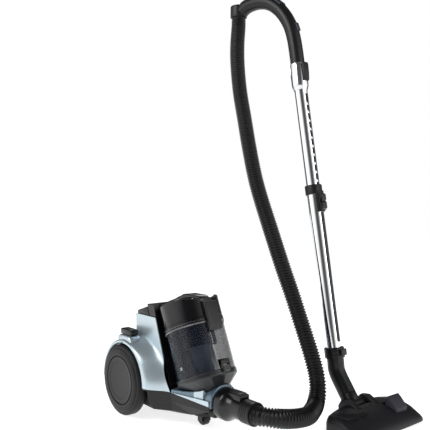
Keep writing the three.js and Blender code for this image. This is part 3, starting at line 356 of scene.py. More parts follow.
# %% The machine's finishes
silver = finish("ice_blue_paint", (0.48, 0.57, 0.62), 0.34, 0.05, metallic=0.7, coat=0.6, grain=2600,
                depth=0.06)
blue_grey = finish("blue_grey_paint", (0.12, 0.18, 0.23), 0.34, 0.08, metallic=0.6, coat=0.5, grain=2600,
                   depth=0.05)
charcoal = finish("charcoal_moulding", (0.011, 0.011, 0.012), 0.42, 0.12, grain=1500, depth=0.1, shine=0.3)
wheel_black = finish("wheel_moulding", (0.008, 0.008, 0.009), 0.36, 0.12, grain=1500, depth=0.06, shine=0.22)
gloss_black = finish("gloss_black", (0.003, 0.003, 0.004), 0.2, 0.2, grain=300, depth=0.01,
                     rough_drift=0.04, shine=0.42)
satin_black = finish("satin_black", (0.007, 0.007, 0.008), 0.36, 0.15, grain=1700, depth=0.06, shine=0.3)
grip_plastic = finish("grip_plastic", (0.025, 0.029, 0.042), 0.46, 0.1, grain=1300, depth=0.12, shine=0.3)
pedal_plastic = finish("pedal_plastic", (0.034, 0.031, 0.044), 0.55, 0.15, grain=900, depth=0.5, shine=0.3)
rubber = finish("hose_rubber", (0.003, 0.003, 0.004), 0.32, 0.15, grain=1200, depth=0.05, shine=0.3)
tyre_rubber = finish("tyre_rubber", (0.006, 0.006, 0.007), 0.5, 0.12, grain=1600, depth=0.12, shine=0.25)
chrome = finish("chrome", (0.78, 0.79, 0.81), 0.07, 0.02, metallic=1.0, grain=60, depth=0.01, rough_drift=0.03)
steel = finish("steel", (0.42, 0.43, 0.45), 0.3, 0.08, metallic=1.0, grain=900, depth=0.05)
inner_plastic = finish("inner_plastic", (0.16, 0.2, 0.26), 0.35, 0.1, grain=800, depth=0.03)
filter_felt = finish("filter_felt", (0.55, 0.54, 0.5), 0.9, 0.15, grain=2200, depth=0.6)
head_black = finish("head_black", (0.01, 0.01, 0.012), 0.48, 0.18, grain=1100, depth=0.2, shine=0.3)
band_grey = finish("band_grey", (0.26, 0.26, 0.27), 0.26, 0.15, metallic=0.8, grain=500, depth=0.02)
smoked = finish("smoked_clear", (0.014, 0.018, 0.028), 0.1, 0.15, grain=40, depth=0.01, rough_drift=0.03)
SMOKED_ALPHA = 0.42
smoked.node_tree.nodes["Principled BSDF"].inputs["Alpha"].default_value = SMOKED_ALPHA
print("finishes:", len(bpy.data.materials))

SLOT_FINISH = {
    "silver": silver, "blue_grey": blue_grey, "charcoal": charcoal, "black": gloss_black,
    "satin": satin_black, "grip": grip_plastic, "pedal": pedal_plastic, "rubber": rubber,
    "chrome": chrome, "steel": steel, "inner": inner_plastic, "filter": filter_felt, "smoked": smoked,
}

# %% [markdown]
# The CAD pieces that stay in view, most of them inside the machine or under it, take the finish of
# their slot.

# %% Finishes on the CAD pieces
for row in frame["record"]["subparts"]:
    node = bpy.data.objects.get(row["node"])
    if node:
        node.data.materials.clear()
        node.data.materials.append(SLOT_FINISH[row["material_slot"]])

# %% [markdown]
# ## Helpers for things that repeat
# Ribs, slats, notches and bristles repeat, so Geometry Nodes place them. One small tree sets a shape
# in a row. Its inputs are named, and it ends in real geometry with its material.

# %% A tree that sets a shape in a row
def new_tree(name, sizes):
    tree = bpy.data.node_groups.new(name, "GeometryNodeTree")
    tree.interface.new_socket("Geometry", in_out="INPUT", socket_type="NodeSocketGeometry")
    tree.interface.new_socket("Geometry", in_out="OUTPUT", socket_type="NodeSocketGeometry")
    keys = {}
    for label, kind in sizes.items():
        socket = tree.interface.new_socket(label, in_out="INPUT", socket_type=f"NodeSocket{kind}")
        keys[label] = socket.identifier
    return tree, keys, tree.nodes.new("NodeGroupInput"), tree.nodes.new("NodeGroupOutput")


def ending(tree, geometry, group_out, group_in):
    real = tree.nodes.new("GeometryNodeRealizeInstances")
    paint = tree.nodes.new("GeometryNodeSetMaterial")
    wired(tree, (geometry, real.inputs["Geometry"]), (real.outputs["Geometry"], paint.inputs["Geometry"]),
          (group_in.outputs["Finish"], paint.inputs["Material"]),
          (paint.outputs["Geometry"], group_out.inputs["Geometry"]))


def line_of_instances(tree, group_in):
    """Sets the incoming shape on Count points that are Step apart."""
    line = tree.nodes.new("GeometryNodeMeshLine")
    placed = tree.nodes.new("GeometryNodeInstanceOnPoints")
    wired(tree, (group_in.outputs["Count"], line.inputs["Count"]),
          (group_in.outputs["Step"], line.inputs["Offset"]), (line.outputs["Mesh"], placed.inputs["Points"]),
          (group_in.outputs["Geometry"], placed.inputs["Instance"]))
    return placed


row_tree, ROW, row_in, row_out = new_tree(
    "row_of_shapes", {"Count": "Int", "Step": "Vector", "Finish": "Material"})
ending(row_tree, line_of_instances(row_tree, row_in).outputs["Instances"], row_out, row_in)


def with_tree(obj, tree, keys, values):
    """Runs a tree on an object, with named values for its sizes."""
    step = obj.modifiers.new("grow", "NODES")
    step.node_group = tree
    for label, value in values.items():
        step[keys[label]] = value
    return obj


def row_of(name, skins, count, step, material, body, nodes=(), place=CANISTER, bevel=0, crease=36):
    obj = linked(name, mesh_of(name, skins))
    if bevel:
        bevelled(obj, bevel, 2)
    baked(with_tree(obj, row_tree, ROW, {"Count": count, "Step": step, "Finish": material}))
    return dress(obj, material, body, nodes, place, crease)


print("row tree inputs:", list(ROW))

# %% [markdown]
# ## Hose
# The hose leaves the turning cuff, runs low above the floor, comes round behind the wand and climbs to
# the handle. A corrugated hose is rings of moulded plastic, so its radius rises and falls along it. The
# tree below resamples the route and waves the radius, with one full wave for each ring.

# %% Hose route
HOSE_ROUTE = [
    (369.4, 0, 71), (376, 0, 71), (388, 4, 71), (405, 23, 68), (414, 52, 63), (415, 84, 58), (409, 118, 54),
    (391, 152, 52), (374, 184, 58), (364, 203, 82), (355, 209, 116), (342, 210, 152), (320, 211, 200),
    (297, 212, 248), (270, 213, 304), (241, 214, 360), (207, 218, 424), (173, 223, 487), (147, 225, 540),
    (123, 227, 595), (94, 231, 680), (68, 236, 766), (43, 240, 854), (26, 246, 940), (17, 254, 995),
    (13.6, 261, 1040), (13.1, 262.3, 1058), (13.1, 262.4, 1067.8),
]
HOSE_RADIUS = 0.021
RIB_PITCH = 0.0072
RIB_DEPTH = 0.0036
POINTS_PER_RIB = 6
hose_curve = [CANISTER @ p for p in smooth_route(HOSE_ROUTE)]
hose_run = even_route(hose_curve, 1)[1]
rib_count = round(hose_run / RIB_PITCH)
hose_path = even_route(hose_curve, rib_count * POINTS_PER_RIB)[0]
HOSE_SIDES = 28
SKIN_GAP = 0.0001
print("hose length:", round(hose_run, 4), "m with", rib_count, "rings")

# %% Hose rings
hose_tree, HOSE, hose_in, hose_out = new_tree(
    "ringed_hose", {"Count": "Int", "Middle radius": "Float", "Wave": "Float", "Turn per point": "Float",
                    "Finish": "Material"})
resample = hose_tree.nodes.new("GeometryNodeResampleCurve")
index = hose_tree.nodes.new("GeometryNodeInputIndex")
turn = hose_tree.nodes.new("ShaderNodeMath")
turn.operation = "MULTIPLY"
wave = hose_tree.nodes.new("ShaderNodeMath")
wave.operation = "COSINE"
swing = hose_tree.nodes.new("ShaderNodeMath")
swing.operation = "MULTIPLY_ADD"
ring = hose_tree.nodes.new("GeometryNodeCurvePrimitiveCircle")
ring.inputs["Resolution"].default_value = HOSE_SIDES
ring.inputs["Radius"].default_value = 1
skin = hose_tree.nodes.new("GeometryNodeCurveToMesh")
skin.inputs["Fill Caps"].default_value = True
wired(hose_tree,
      (hose_in.outputs["Geometry"], resample.inputs["Curve"]),
      (hose_in.outputs["Count"], resample.inputs["Count"]),
      (index.outputs[0], turn.inputs[0]), (hose_in.outputs["Turn per point"], turn.inputs[1]),
      (turn.outputs[0], wave.inputs[0]), (wave.outputs[0], swing.inputs[0]),
      (hose_in.outputs["Wave"], swing.inputs[1]), (hose_in.outputs["Middle radius"], swing.inputs[2]),
      (resample.outputs["Curve"], skin.inputs["Curve"]), (swing.outputs[0], skin.inputs["Scale"]),
      (ring.outputs["Curve"], skin.inputs["Profile Curve"]))
ending(hose_tree, skin.outputs["Mesh"], hose_out, hose_in)

hose_line = bpy.data.curves.new("ringed_hose", "CURVE")
hose_line.dimensions = "3D"
spline = hose_line.splines.new("POLY")
spline.points.add(len(hose_path) - 1)
for point, place in zip(spline.points, hose_path):
    point.co = (*place, 1)
route_object = with_tree(linked("hose_route", hose_line), hose_tree, HOSE, {
    "Count": rib_count * POINTS_PER_RIB + 1, "Middle radius": HOSE_RADIUS - RIB_DEPTH / 2 - SKIN_GAP,
    "Wave": RIB_DEPTH / 2, "Turn per point": 2 * math.pi / POINTS_PER_RIB, "Finish": rubber})
hose_mesh = evaluated_mesh(route_object)
bpy.data.objects.remove(route_object)
hose = linked("ringed_hose", hose_mesh)
if not hose_mesh.materials:
    hose_mesh.materials.append(rubber)
hose_mesh.shade_smooth()
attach(hose, "canister")
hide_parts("hose")
print("hose faces:", len(hose_mesh.polygons))

# %% [markdown]
# ## Rear wheels
# A wheel here is a deep moulded disc with a soft tyre pressed on it. Turning one profile round the axle
# gives the dished face, the fine grooves that catch the light and the flat hubcap in the middle.

# %% Wheels and tyres
WHEEL_RADIUS = 87
DISC_PROFILE = [
    (6.3, 94.5), (11.3, 94.5), (11.3, 118), (74.7, 118), (74.7, 94.5), (77.7, 94.5), (77.7, 121.4),
    (77, 122.2), (75.4, 122.9), (75, 122.4), (74.4, 122.4), (74, 123.2), (71.4, 123.5), (71, 122.9),
    (70.4, 122.9), (70, 123.6), (67.4, 123.8), (67, 123.2), (66.4, 123.2), (66, 123.9), (61.6, 124),
    (61, 123.6), (60.4, 121.8), (59.7, 121), (58.9, 121), (58.2, 121.8), (57.7, 123.2), (57, 123.6),
    (52, 123.4), (46, 122.7), (45.5, 122.2), (45, 122.6), (24, 121.8), (0, 121.6), (0, 120.3), (6.3, 120.3),
]
TYRE_PROFILE = [
    (78, 96.5), (83.6, 96.5), (85.8, 97.4), (86.8, 99.4), (87, 102), (87, 107.4), (86.6, 107.8),
    (86.6, 108.6), (87, 109), (87, 114), (86.5, 117), (85, 119.4), (82, 120.7), (78, 121),
]
SIDES = (("left", Matrix.Identity(4)), ("right", Matrix.Diagonal((1, -1, 1, 1))))
for side, flip in SIDES:
    disc = moved(lathed_y(DISC_PROFILE, z=WHEEL_RADIUS, segments=128), flip)
    tyre = moved(lathed_y(TYRE_PROFILE, z=WHEEL_RADIUS, segments=128), flip)
    piece(f"wheel_disc_{side}", [disc], wheel_black, f"{side}_wheel", [f"wheel_{side}"], crease=25)
    piece(f"soft_tyre_{side}", [tyre], tyre_rubber, f"{side}_wheel", [f"tyre_{side}"], crease=40)
print("wheel profile points:", len(DISC_PROFILE))

# %% [markdown]
# ## Side panels
# Each painted panel is one shell: a fender that wraps the wheel and dies away forwards into the flat
# pillar beside the cup. Rings that fan out from the wheel's centre follow both shapes, and the width
# of each ring falls smoothly with its distance from the wheel.

# %% Rule of the panel's shape
FENDER_WIDTH, PILLAR_WIDTH = 115, 70
FENDER_RADIUS, ARCH_RADIUS = 99.2, 90.5
PANEL_FOOT = 80.3
PILLAR_REAR, PILLAR_TOP = -8, 248
EDGE_FOOT, EDGE_TOP = (145, 80), (81, 250)
PANEL_WALL = 2.4


def ease(t):
    t = min(1, max(0, t))
    return t * t * (3 - 2 * t)


def panel_reach(angle):
    c, s = math.cos(angle), math.sin(angle)
    if c * PILLAR_TOP < s * PILLAR_REAR - 8:
        return FENDER_RADIUS
    run, rise = EDGE_TOP[0] - EDGE_FOOT[0], EDGE_TOP[1] - EDGE_FOOT[1]
    to_edge = (EDGE_FOOT[0] * rise - (EDGE_FOOT[1] - WHEEL_RADIUS) * run) / (c * rise - s * run)
    return min(to_edge, (PILLAR_TOP - WHEEL_RADIUS) / max(s, 1e-6))


def panel_width(radius, angle):
    fade = 112 + 36 * ease(1 - angle / math.radians(75))
    return FENDER_WIDTH - (FENDER_WIDTH - PILLAR_WIDTH) * ease((radius - 97) / (fade - 97))


def offset_row(row, distance):
    result = []
    for k, p in enumerate(row):
        before, after = row[max(k - 1, 0)], row[min(k + 1, len(row) - 1)]
        way = Vector((after[0] - before[0], after[1] - before[1])).normalized()
        result.append((p[0] - way.y * distance, p[1] + way.x * distance))
    return result


def panel_ring(angle, rear):
    lip = [(ARCH_RADIUS, 97), (ARCH_RADIUS, 112), (91, 114), (92.4, 115)]
    if rear:
        row = lip + [(95, 115), (97, 114), (98.6, 112), (99.3, 109.5)]
        row += [(FENDER_RADIUS, width) for width in (106, 98, 88, 78, 67)]
    else:
        reach = panel_reach(angle)
        shares = [(k / 22) ** 1.5 for k in range(23)]
        row = lip + [(94 + (reach - 94) * f, panel_width(94 + (reach - 94) * f, angle)) for f in shares]
    ring = row + offset_row(row, -PANEL_WALL)[::-1]
    return [(r * math.cos(angle), y, WHEEL_RADIUS + r * math.sin(angle)) for r, y in ring]


# %% [markdown]
# Flank, fender and pod are closed skins. The joint with the chassis rises towards the wheel, so the
# foot of the flank is a charcoal skirt.

# %% Panels and pods
def spread(start, end, count):
    return [start + (end - start) * k / count for k in range(count + 1)]


pillar_angle = math.atan2(PILLAR_TOP - WHEEL_RADIUS, PILLAR_REAR)
first_angle = math.asin((PANEL_FOOT - WHEEL_RADIUS) / EDGE_FOOT[0])
last_angle = math.pi - math.asin((PANEL_FOOT - WHEEL_RADIUS) / FENDER_RADIUS)
corner_angle = math.atan2(PILLAR_TOP - WHEEL_RADIUS, 81.75)
flank = lofted([panel_ring(a, False) for a in spread(first_angle, corner_angle, 44)
                + spread(corner_angle, pillar_angle, 16)[1:]])
fender = lofted([panel_ring(a, True) for a in spread(pillar_angle - 0.07, last_angle, 36)])
PEDAL_X, PEDAL_Y = -3, 92


def pod_ring(height, length, width):
    corner = min(length, width) * 0.35
    ring = []
    for a, b in ((1, 1), (-1, 1), (-1, -1), (1, -1)):
        for k in range(5):
            t = math.radians(22.5 * k) + math.atan2(b, a) - math.pi / 4
            ring.append((PEDAL_X + a * (length - corner) + corner * math.cos(t),
                         PEDAL_Y + b * (width - corner) + corner * math.sin(t), height))
    return ring


pod = lofted([pod_ring(183, 35, 17.6), pod_ring(189, 31, 17.5), pod_ring(193, 27.5, 17),
              pod_ring(195.3, 25, 16), pod_ring(196, 23, 14.5)])
JOINT = [(-200, 91), (60, 91), (145.5, 80.4), (300, 80)]
above_joint = slab(JOINT + [(300, 400), (-200, 400)], 0, 200)
under_joint = slab(JOINT + [(300, -50), (-200, -50)], 0, 200)
for side, flip in SIDES:
    panel = piece(f"painted_panel_{side}", [moved(flank, flip)], silver, "canister",
                  [f"side_panel_{side}"], within=[moved(above_joint, flip)], crease=42)
    piece(f"panel_skirt_{side}", [moved(flank, flip)], charcoal, "canister",
          within=[moved(under_joint, flip)], crease=42)
    piece(f"painted_fender_{side}", [moved(fender, flip), moved(pod, flip)], silver, "canister",
          crease=42)
print("panel faces:", len(panel.data.polygons))

# %% [markdown]
# A foot pedal sits on each pod: a thick bevelled bar in gloss black on a short stem.

# %% Pedals
PEDAL_CAP = block((PEDAL_X - 25, PEDAL_Y - 12, 197), (PEDAL_X + 25, PEDAL_Y + 12, 212))
PEDAL_STEM = block((PEDAL_X - 17, PEDAL_Y - 9.8, 179), (PEDAL_X + 17, PEDAL_Y + 9.8, 202))
for action, (side, flip) in zip(("rewind", "power"), SIDES):
    piece(f"{action}_pedal_bar", [moved(PEDAL_CAP, flip), moved(PEDAL_STEM, flip)], gloss_black,
          f"{action}_button", [f"{action}_pedal"], bevel=3.4)
    print(action, "pedal on the", side)

# %% [markdown]
# ## Dust cup
# The cup tilts back on the nose. From the foot up it has a faceted base flap, a clear smoked wall and a
# black lid, whose wall is cut level at the front.

# %% Cup pieces
CUP_IN_CANISTER = CANISTER.inverted() @ CUP
CUP_RADIUS, CUP_BORE = 72, 69.5
FACETS = 12


def base_ring(height, radius, forward, facet):
    """A ring that goes from round (facet 0) to a twelve-sided one (facet 1) inside the same radius."""
    ring, step = [], 2 * math.pi / FACETS
    for k in range(FACETS * 8):
        t = 2 * math.pi * k / (FACETS * 8)
        flat = math.cos(step / 2) / math.cos(t % step - step / 2)
        r = radius * (1 + (flat - 1) * facet)
        ring.append((forward + r * math.cos(t), r * math.sin(t), height))
    return ring


def cup_base_skin(grow=0, facet=1):
    """The base as a skin, or the room it needs when it grows a little and loses its facets."""
    rings = [base_ring(-15 - grow, 34.5 + grow, 13, facet), base_ring(-13.4 - grow, 36 + grow, 12.8, facet),
             base_ring(10, 67.6 + grow, 1.8, facet), base_ring(12.4, 70.6 + grow, 0.7, facet * 0.4)]
    rim = [(14, 72.4), (15.6, 73), (19, 73), (19.6, 72.2), (20.6, 72.2), (21.2, 73), (24.6 + grow, 73),
           (26 + grow, 72)]
    return lofted(rings + [base_ring(height, radius + grow, 0, 0) for height, radius in rim])


base_black = finish("base_black", (0.016, 0.017, 0.019), 0.33, 0.15, grain=1300, depth=0.08)
base_lug = slab([(70, 16), (82, 20), (82, 32), (74.4, 32), (74.4, 26), (70, 26)], -9, 9)
piece("faceted_base", [cup_base_skin(), base_lug], base_black, "base_flap", ["cup_base"],
      place=CUP, crease=12)
wall = lathed([(CUP_BORE, 26.3), (CUP_RADIUS, 26.3), (CUP_RADIUS, 139.7), (CUP_BORE, 139.7)], 128)
piece("smoked_cup_wall", [wall], smoked, "cup", ["cup_body"], place=CUP)
MARK_TURN = Matrix.Rotation(math.radians(-84), 4, "Z")
MARK_HEIGHTS = (47.5, 51.5)
level_white = finish("level_white", (0.7, 0.7, 0.7), 0.4, 0.05, grain=600, depth=0.02)
mark = moved(block((71.9, -3.2, -0.7), (72.5, 3.2, 0.7)), MARK_TURN)
marks = [moved(mark, Matrix.Translation((0, 0, height))) for height in MARK_HEIGHTS]
piece("level_marks", marks, level_white, "cup", place=CUP)
HINGE_ARM = [(71.5, 34), (75, 24), (82, 24), (82, 44), (71.5, 48)]
hinge_arms = [slab(HINGE_ARM, y0, y1) for y0, y1 in ((9.6, 13), (-13, -9.6))]
hinge_bridge = slab([(71.5, 35), (82, 35), (82, 44), (71.5, 48)], -13, 13)
piece("hinge_bracket", hinge_arms + [hinge_bridge], gloss_black, "cup", place=CUP, bevel=0.8)
print("cup top in mm:", [round(v, 1) for v in CUP_IN_CANISTER @ Vector((0, 0, 210))])

# %% [markdown]
# The lid is a turned cap, cut level at the front, with a ribbed grey band under it. A block closes its
# front, and a carry handle arches over it with the release button in a well.

# %% Lid, band, prow and carry handle
def level(height):
    """Everything above a height of the canister, seen from the tilted cup."""
    return moved(block((-200, -200, height), (600, 200, height + 200)), CUP_IN_CANISTER.inverted())


LID_PROFILE = [
    (CUP_BORE, 140), (73.4, 140), (74, 140.6), (74, 144.2), (73.3, 144.6), (73.3, 146), (74, 146.4), (74, 150),
    (73.4, 151), (72.4, 151.4), (72.4, 153), (73, 153.6), (73, 203), (72.6, 205.6), (71.4, 208), (69.5, 209.5),
    (67.5, 210), (65.5, 209.8), (64.4, 208.8), (64, 207), (64, 183), (0, 183), (0, 180), (68.5, 180),
]
piece("lid_shell", [lathed(LID_PROFILE, 144)], gloss_black, "lid", ["cup_lid"], place=CUP,
      cutters=[level(302)], crease=30)
BAND_RIBS = 150
BAND_RADIUS, BAND_RISE, BAND_BORE = 72.6, 0.9, 70
BAND_ROW = [(136.6, 0), (136.9, 1), (145.6, 1), (145.9, 0)]


def band_ring(turn, proud):
    row = [(BAND_RADIUS + BAND_RISE * proud * rise, height) for height, rise in BAND_ROW]
    row += [(BAND_BORE, 144), (BAND_BORE, 138)]
    return [(r * math.cos(turn), r * math.sin(turn), height) for r, height in row]


band_rings = []
for k in range(BAND_RIBS):
    for share, proud in ((0.0, 0.2), (0.3, 1.0), (0.7, 1.0)):
        band_rings.append(band_ring(2 * math.pi * (k + share) / BAND_RIBS, proud))
piece("ribbed_band", [lofted(band_rings, closed=True)], band_grey, "cup", place=CUP, crease=20)
prow = slab([(70, 154), (73.4, 119), (75.5, 114.6), (79, 114), (81.6, 116), (84.4, 126), (85, 132), (85, 205),
             (83.4, 209), (70, 210)], -19, 19)
piece("lid_prow", [prow], gloss_black, "lid", place=CUP, bevel=3.4, segments=4, cutters=[level(298)])
grip = slab([(-70, 210.3), (-61, 216.6), (-50, 221.6), (-36, 225.6), (-20, 226.6), (0, 225.2), (20, 222),
             (40, 217), (54, 210), (67, 196), (60, 190.5), (48, 198.4), (34, 205.8), (12, 211.8),
             (-12, 214.8), (-30, 214.8), (-46, 212.6), (-58, 210.3)], -16, 16)
release_well = block((-26, -8.6, 218), (0, 8.6, 250))
piece("carry_grip", [grip], gloss_black, "lid", ["carry_handle"], place=CUP, bevel=3.2, segments=4,
      cutters=[level(308)], wells=[release_well])
piece("cup_release", [block((-25.4, -8, 221), (-0.6, 8, 228))], satin_black, "cup_button",
      ["cup_release_button"], place=CUP, bevel=1.6)

# %% [markdown]
# ## Nose, connector and cuff
# The painted nose drops away under the cup, where its rear part takes the blue-grey finish as painted shade
# under the cup. The nose ends in an arch of the same blue-grey round the hose connector, a turned black bell
# that narrows to a neck.

# %% Nose
CUP_ROOM_GAP = 1.5
INLET_HEIGHT = 71
cup_room = moved(cup_base_skin(CUP_ROOM_GAP, 0), CUP_IN_CANISTER)
NOSE_SIDE = smooth_route(
    [(1, 0, 0), (1, 0.45, 0), (0.94, 0.72, 0), (0.7, 0.92, 0), (0.36, 0.99, 0), (0, 1, 0)], 4)
nose_line = smooth_route([(146.5, 67, 90), (172, 60, 91), (200, 53, 97), (237.7, 43, 110)], 8)


def nose_ring(x, half, top):
    side = [(p.x * half, PANEL_FOOT + p.y * (top - PANEL_FOOT)) for p in NOSE_SIDE]
    return [(x, y, z) for y, z in side] + [(x, -y, z) for y, z in side[-2::-1]]


nose_skin = lofted([nose_ring(*p) for p in nose_line])
NOSE_SPLIT = 212
ahead = block((NOSE_SPLIT, -90, 60), (300, 90, 130))
behind = block((100, -90, 60), (NOSE_SPLIT, 90, 130))
piece("painted_nose", [nose_skin], silver, "canister", ["nose_cover"],
      cutters=[cup_room, behind], crease=40)
# Painted shade: the silver nose behind the split is given the blue-grey finish, for the shade in the bay under
# the cup.
piece("painted_shade_bay_floor", [nose_skin], blue_grey, "canister", cutters=[cup_room, ahead], crease=40)
SILL = [(145, 66, 78.9), (160, 63.6, 77.6), (200, 54.4, 73.4), (240, 46, 69.4), (258, 42.4, 67.8)]


def sill_ring(x, half, low):
    return [(x, y, z) for y, z in ((half - 2, low), (half + 0.8, low), (half + 2, 79.9), (half - 1, 79.9))]


for side, flip in SIDES:
    piece(f"sill_strip_{side}", [moved(lofted([sill_ring(*p) for p in SILL]), flip)], silver, "canister")
ARCH_PROFILE = [(34, 238), (40, 238), (41, 239), (41, 260.4), (40, 261.6), (38.6, 262), (34, 262)]
below_arch = block((200, -90, 0), (300, 90, 64))
piece("inlet_arch", [lathed_x(ARCH_PROFILE, INLET_HEIGHT, 128)], blue_grey, "canister",
      ["nose_collar"], cutters=[below_arch, cup_room])
print("nose rings:", len(nose_line))

# %% [markdown]
# The connector and the cuff are turned on the inlet's level axis. The latch button sits in a well, and
# its grip is one small ridge in a row.

# %% Connector, latch and cuff
BELL_PROFILE = [
    (16.5, 262.3), (34, 262.3), (35.6, 263), (36.4, 264.6), (36.5, 267), (36.5, 283), (36.2, 285), (35, 287.4),
    (31.6, 292.6), (29.4, 296.6), (27.4, 301), (25.9, 305), (24.9, 309), (24.3, 314), (24, 320), (24, 334.4),
    (23.4, 335), (16.5, 335),
]
latch_housing = block((288, -14, 91), (332, 14, 104))
latch_well = block((291, -11.2, 98), (329, 11.2, 131))
piece("connector_bell", [lathed_x(BELL_PROFILE, INLET_HEIGHT, 128)], gloss_black, "canister",
      ["hose_connector"], cutters=[latch_well])
piece("latch_housing", [latch_housing], gloss_black, "canister", bevel=2, wells=[latch_well])
piece("latch_button", [block((291.6, -10.6, 101.5), (328.4, 10.6, 107.2))], satin_black,
      "connector_button", ["connector_latch"], bevel=2)
row_of("latch_ridges", [block((296, -8, 106.6), (297.4, 8, 108))], 7, (3.4, 0, 0), satin_black,
       "connector_button", bevel=0.3)
CUFF_GROOVES, CUFF_PITCH = 4, 5.6
cuff_profile = [(16.5, 335.5), (25, 335.5), (26, 336.5), (26, 341)]
for k in range(CUFF_GROOVES):
    start = 342 + CUFF_PITCH * k
    cuff_profile += [(25.2, start), (25.2, start + 1.4), (26, start + 2), (26, start + 5)]
cuff_profile += [(26, 367.6), (25, 369), (16.5, 369)]
piece("turning_cuff", [lathed_x(cuff_profile, INLET_HEIGHT)], satin_black, "cuff", ["hose_cuff"],
      crease=30)
print("cuff profile points:", len(cuff_profile))

# %% [markdown]
# ## Back of the canister
# The motor housing and the trim behind the cup are plain mouldings with softened edges. Air leaves
# through a slatted cover, and the slats are one shape in a row.

# %% Housing, trim and exhaust
BAY_BACK = 82.5


def bay_x(height):
    """Where the back wall of the cup's bay stands at a height."""
    slope = height - CUP_FOOT[1] + BAY_BACK * math.sin(CUP_TILT)
    return CUP_FOOT[0] - BAY_BACK * math.cos(CUP_TILT) - slope * math.tan(CUP_TILT)


HOUSING = [(bay_x(80.1), 80.1), (bay_x(243), 243), (-8, 243), (-12, 192), (-62, 182), (-88, 162), (-88, 96),
           (-84, 80.1)]
piece("motor_shell", [slab(HOUSING, -66, 66)], charcoal, "canister", ["motor_housing"], bevel=3,
      cutters=[block((-100, -42, 104), (-70, 42, 158))])
TRIM = [(-8, 243.3), (bay_x(243) - 1, 243.3), (bay_x(273) - 1, 271), (-8, 256)]
piece("top_trim", [slab(TRIM, -66, 66)], gloss_black, "canister", ["top_cover"], bevel=3)
cover_frame = block((-92.3, -48, 101), (-88.3, 48, 161))
piece("exhaust_frame", [cover_frame], charcoal, "exhaust_door", ["exhaust_cover"], bevel=1,
      cutters=[block((-100, -37, 110), (-80, 37, 152))])
row_of("exhaust_slats", [block((-91.8, -38, 110), (-88.8, 38, 113.2))], 7, (0, 0, 6.4), charcoal,
       "exhaust_door", bevel=0.5)
print("housing outline points:", len(HOUSING))

# %% [markdown]
# ## Wand
# Two chromed tubes telescope. The thinner upper one has a toothed rack, and the lower one a black track
# strip and a collar with the latch. Turned profiles keep the tubes truly round in their reflections.

# %% Tubes, collar and latches
UPPER_PROFILE = [
    (14, 330), (17, 330), (17, 668), (17.6, 671), (19.6, 676), (21.1, 680), (21.8, 684), (22, 690), (22, 741.5),
    (21.4, 743), (14, 743),
]
piece("upper_tube", [lathed(UPPER_PROFILE)], chrome, "handle", ["wand_upper_tube"], place=WAND,
      cutters=[block((15.1, -4.3, 321), (26, 4.3, 658.3))])
piece("rack_strip", [block((15.4, -4, 330), (16.7, 4, 658))], satin_black, "handle",
      ["tooth_rack"], place=WAND)
row_of("rack_notches", [block((16.2, -3.2, 420), (16.9, 3.2, 427))], 10, (0, 0, 23), chrome, "handle",
       place=WAND, bevel=0.2)
piece("lower_tube", [lathed([(17.6, -24), (18.5, -24), (18.5, 402), (17.6, 402)])], chrome, "lower_wand",
      ["wand_lower_tube"], place=WAND)
piece("black_track", [block((18.3, -4.5, 14), (20, 4.5, 341))], gloss_black, "lower_wand",
      ["track_strip"], place=WAND, bevel=0.5)
collar = lathed([(18.8, 389), (21.4, 389), (22, 389.8), (22, 411.6), (21.6, 413.2), (20.4, 414), (17.6, 414),
                 (17.6, 402.3), (18.8, 402.3)])
GUIDE_TURN = math.radians(39)
guide_turns = spread(-GUIDE_TURN, GUIDE_TURN, 16)
guide_row = [(22, t) for t in guide_turns] + [(18.8, t) for t in reversed(guide_turns)]
guide = lofted([[(r * math.cos(t), r * math.sin(t), z) for r, t in guide_row] for z in (342, 390)])
piece("wand_ring", [collar, guide], satin_black, "lower_wand", ["wand_collar"], place=WAND)
piece("latch_rail", [block((20.6, -9, 344), (25, 9, 396))], satin_black, "lower_wand", place=WAND,
      bevel=1.2)
SLIDE = [(25.3, 346), (31.3, 349), (31.8, 364), (28.3, 368), (31.8, 372), (31.3, 386), (25.3, 389)]
piece("telescope_slide", [slab(SLIDE, -8.5, 8.5)], gloss_black, "wand_latch", ["telescope_latch"],
      place=WAND, bevel=1.4)
piece("handle_catch", [slab([(22.3, 691), (26, 695), (28, 712), (29, 737), (27, 742), (22.3, 742)], -10, 10)],
      satin_black, "handle_button", ["handle_release"], place=WAND, bevel=1.6)
NECK_PROFILE = [(18.8, -25.4), (25, -25.4), (25, -18), (24.2, -17.4), (24.2, -16.4), (25, -15.8), (25, -9),
                (24.2, -8.4), (24.2, -7.4), (25, -6.8), (25, -2.4), (24.4, -0.6), (23, 0), (18.8, 0)]
piece("neck_ring", [lathed(NECK_PROFILE)], satin_black, "lower_wand", ["neck_socket"], place=WAND)
piece("neck_catch", [block((25.4, -10, -20), (32, 10, -4))], gloss_black, "neck_button",
      ["neck_release"], place=WAND, bevel=1.8)
print("upper tube profile points:", len(UPPER_PROFILE))

# %% [markdown]
# ## Handle
# The bent handle is a swept tube that ends in the socket of the hose. The softer grip insert lies on
# the outside of the bend: a slightly fatter sweep, kept only where it lies in a wedge above the limb.

# %% Handle pieces
LIMB_RADIUS, GRIP_RADIUS = 19, 21.6
HANDLE_ROUTE = [(-5.9, 41), (-12, 72), (-19.3, 98), (-33.2, 127.5), (-57.7, 160), (-90, 185), (-125, 196),
                (-158, 196), (-177, 191), (-187, 185)]
limb_route = smooth_route([(2, 0, -12)] + [(x, 0, z) for x, z in HANDLE_ROUTE], 6)
below_joint = moved(block((-100, -100, -99.7), (100, 100, 0.3)),
                    Matrix.Rotation(-HANDLE_TURN, 4, "Z") @ Matrix.Rotation(-WAND_TILT, 4, "Y"))
SOCKET_PROFILE = [
    (0, 167.5), (20.6, 167.5), (20.6, 169), (23.4, 169), (24, 169.8), (24, 173), (23.5, 173.6),
    (23.5, 174.6), (24, 175.2), (24, 198), (23, 200.6), (21, 201.5), (0, 201.5),
]
hose_socket = moved(lathed(SOCKET_PROFILE), Matrix.Translation((-201.1, 0, 0)))
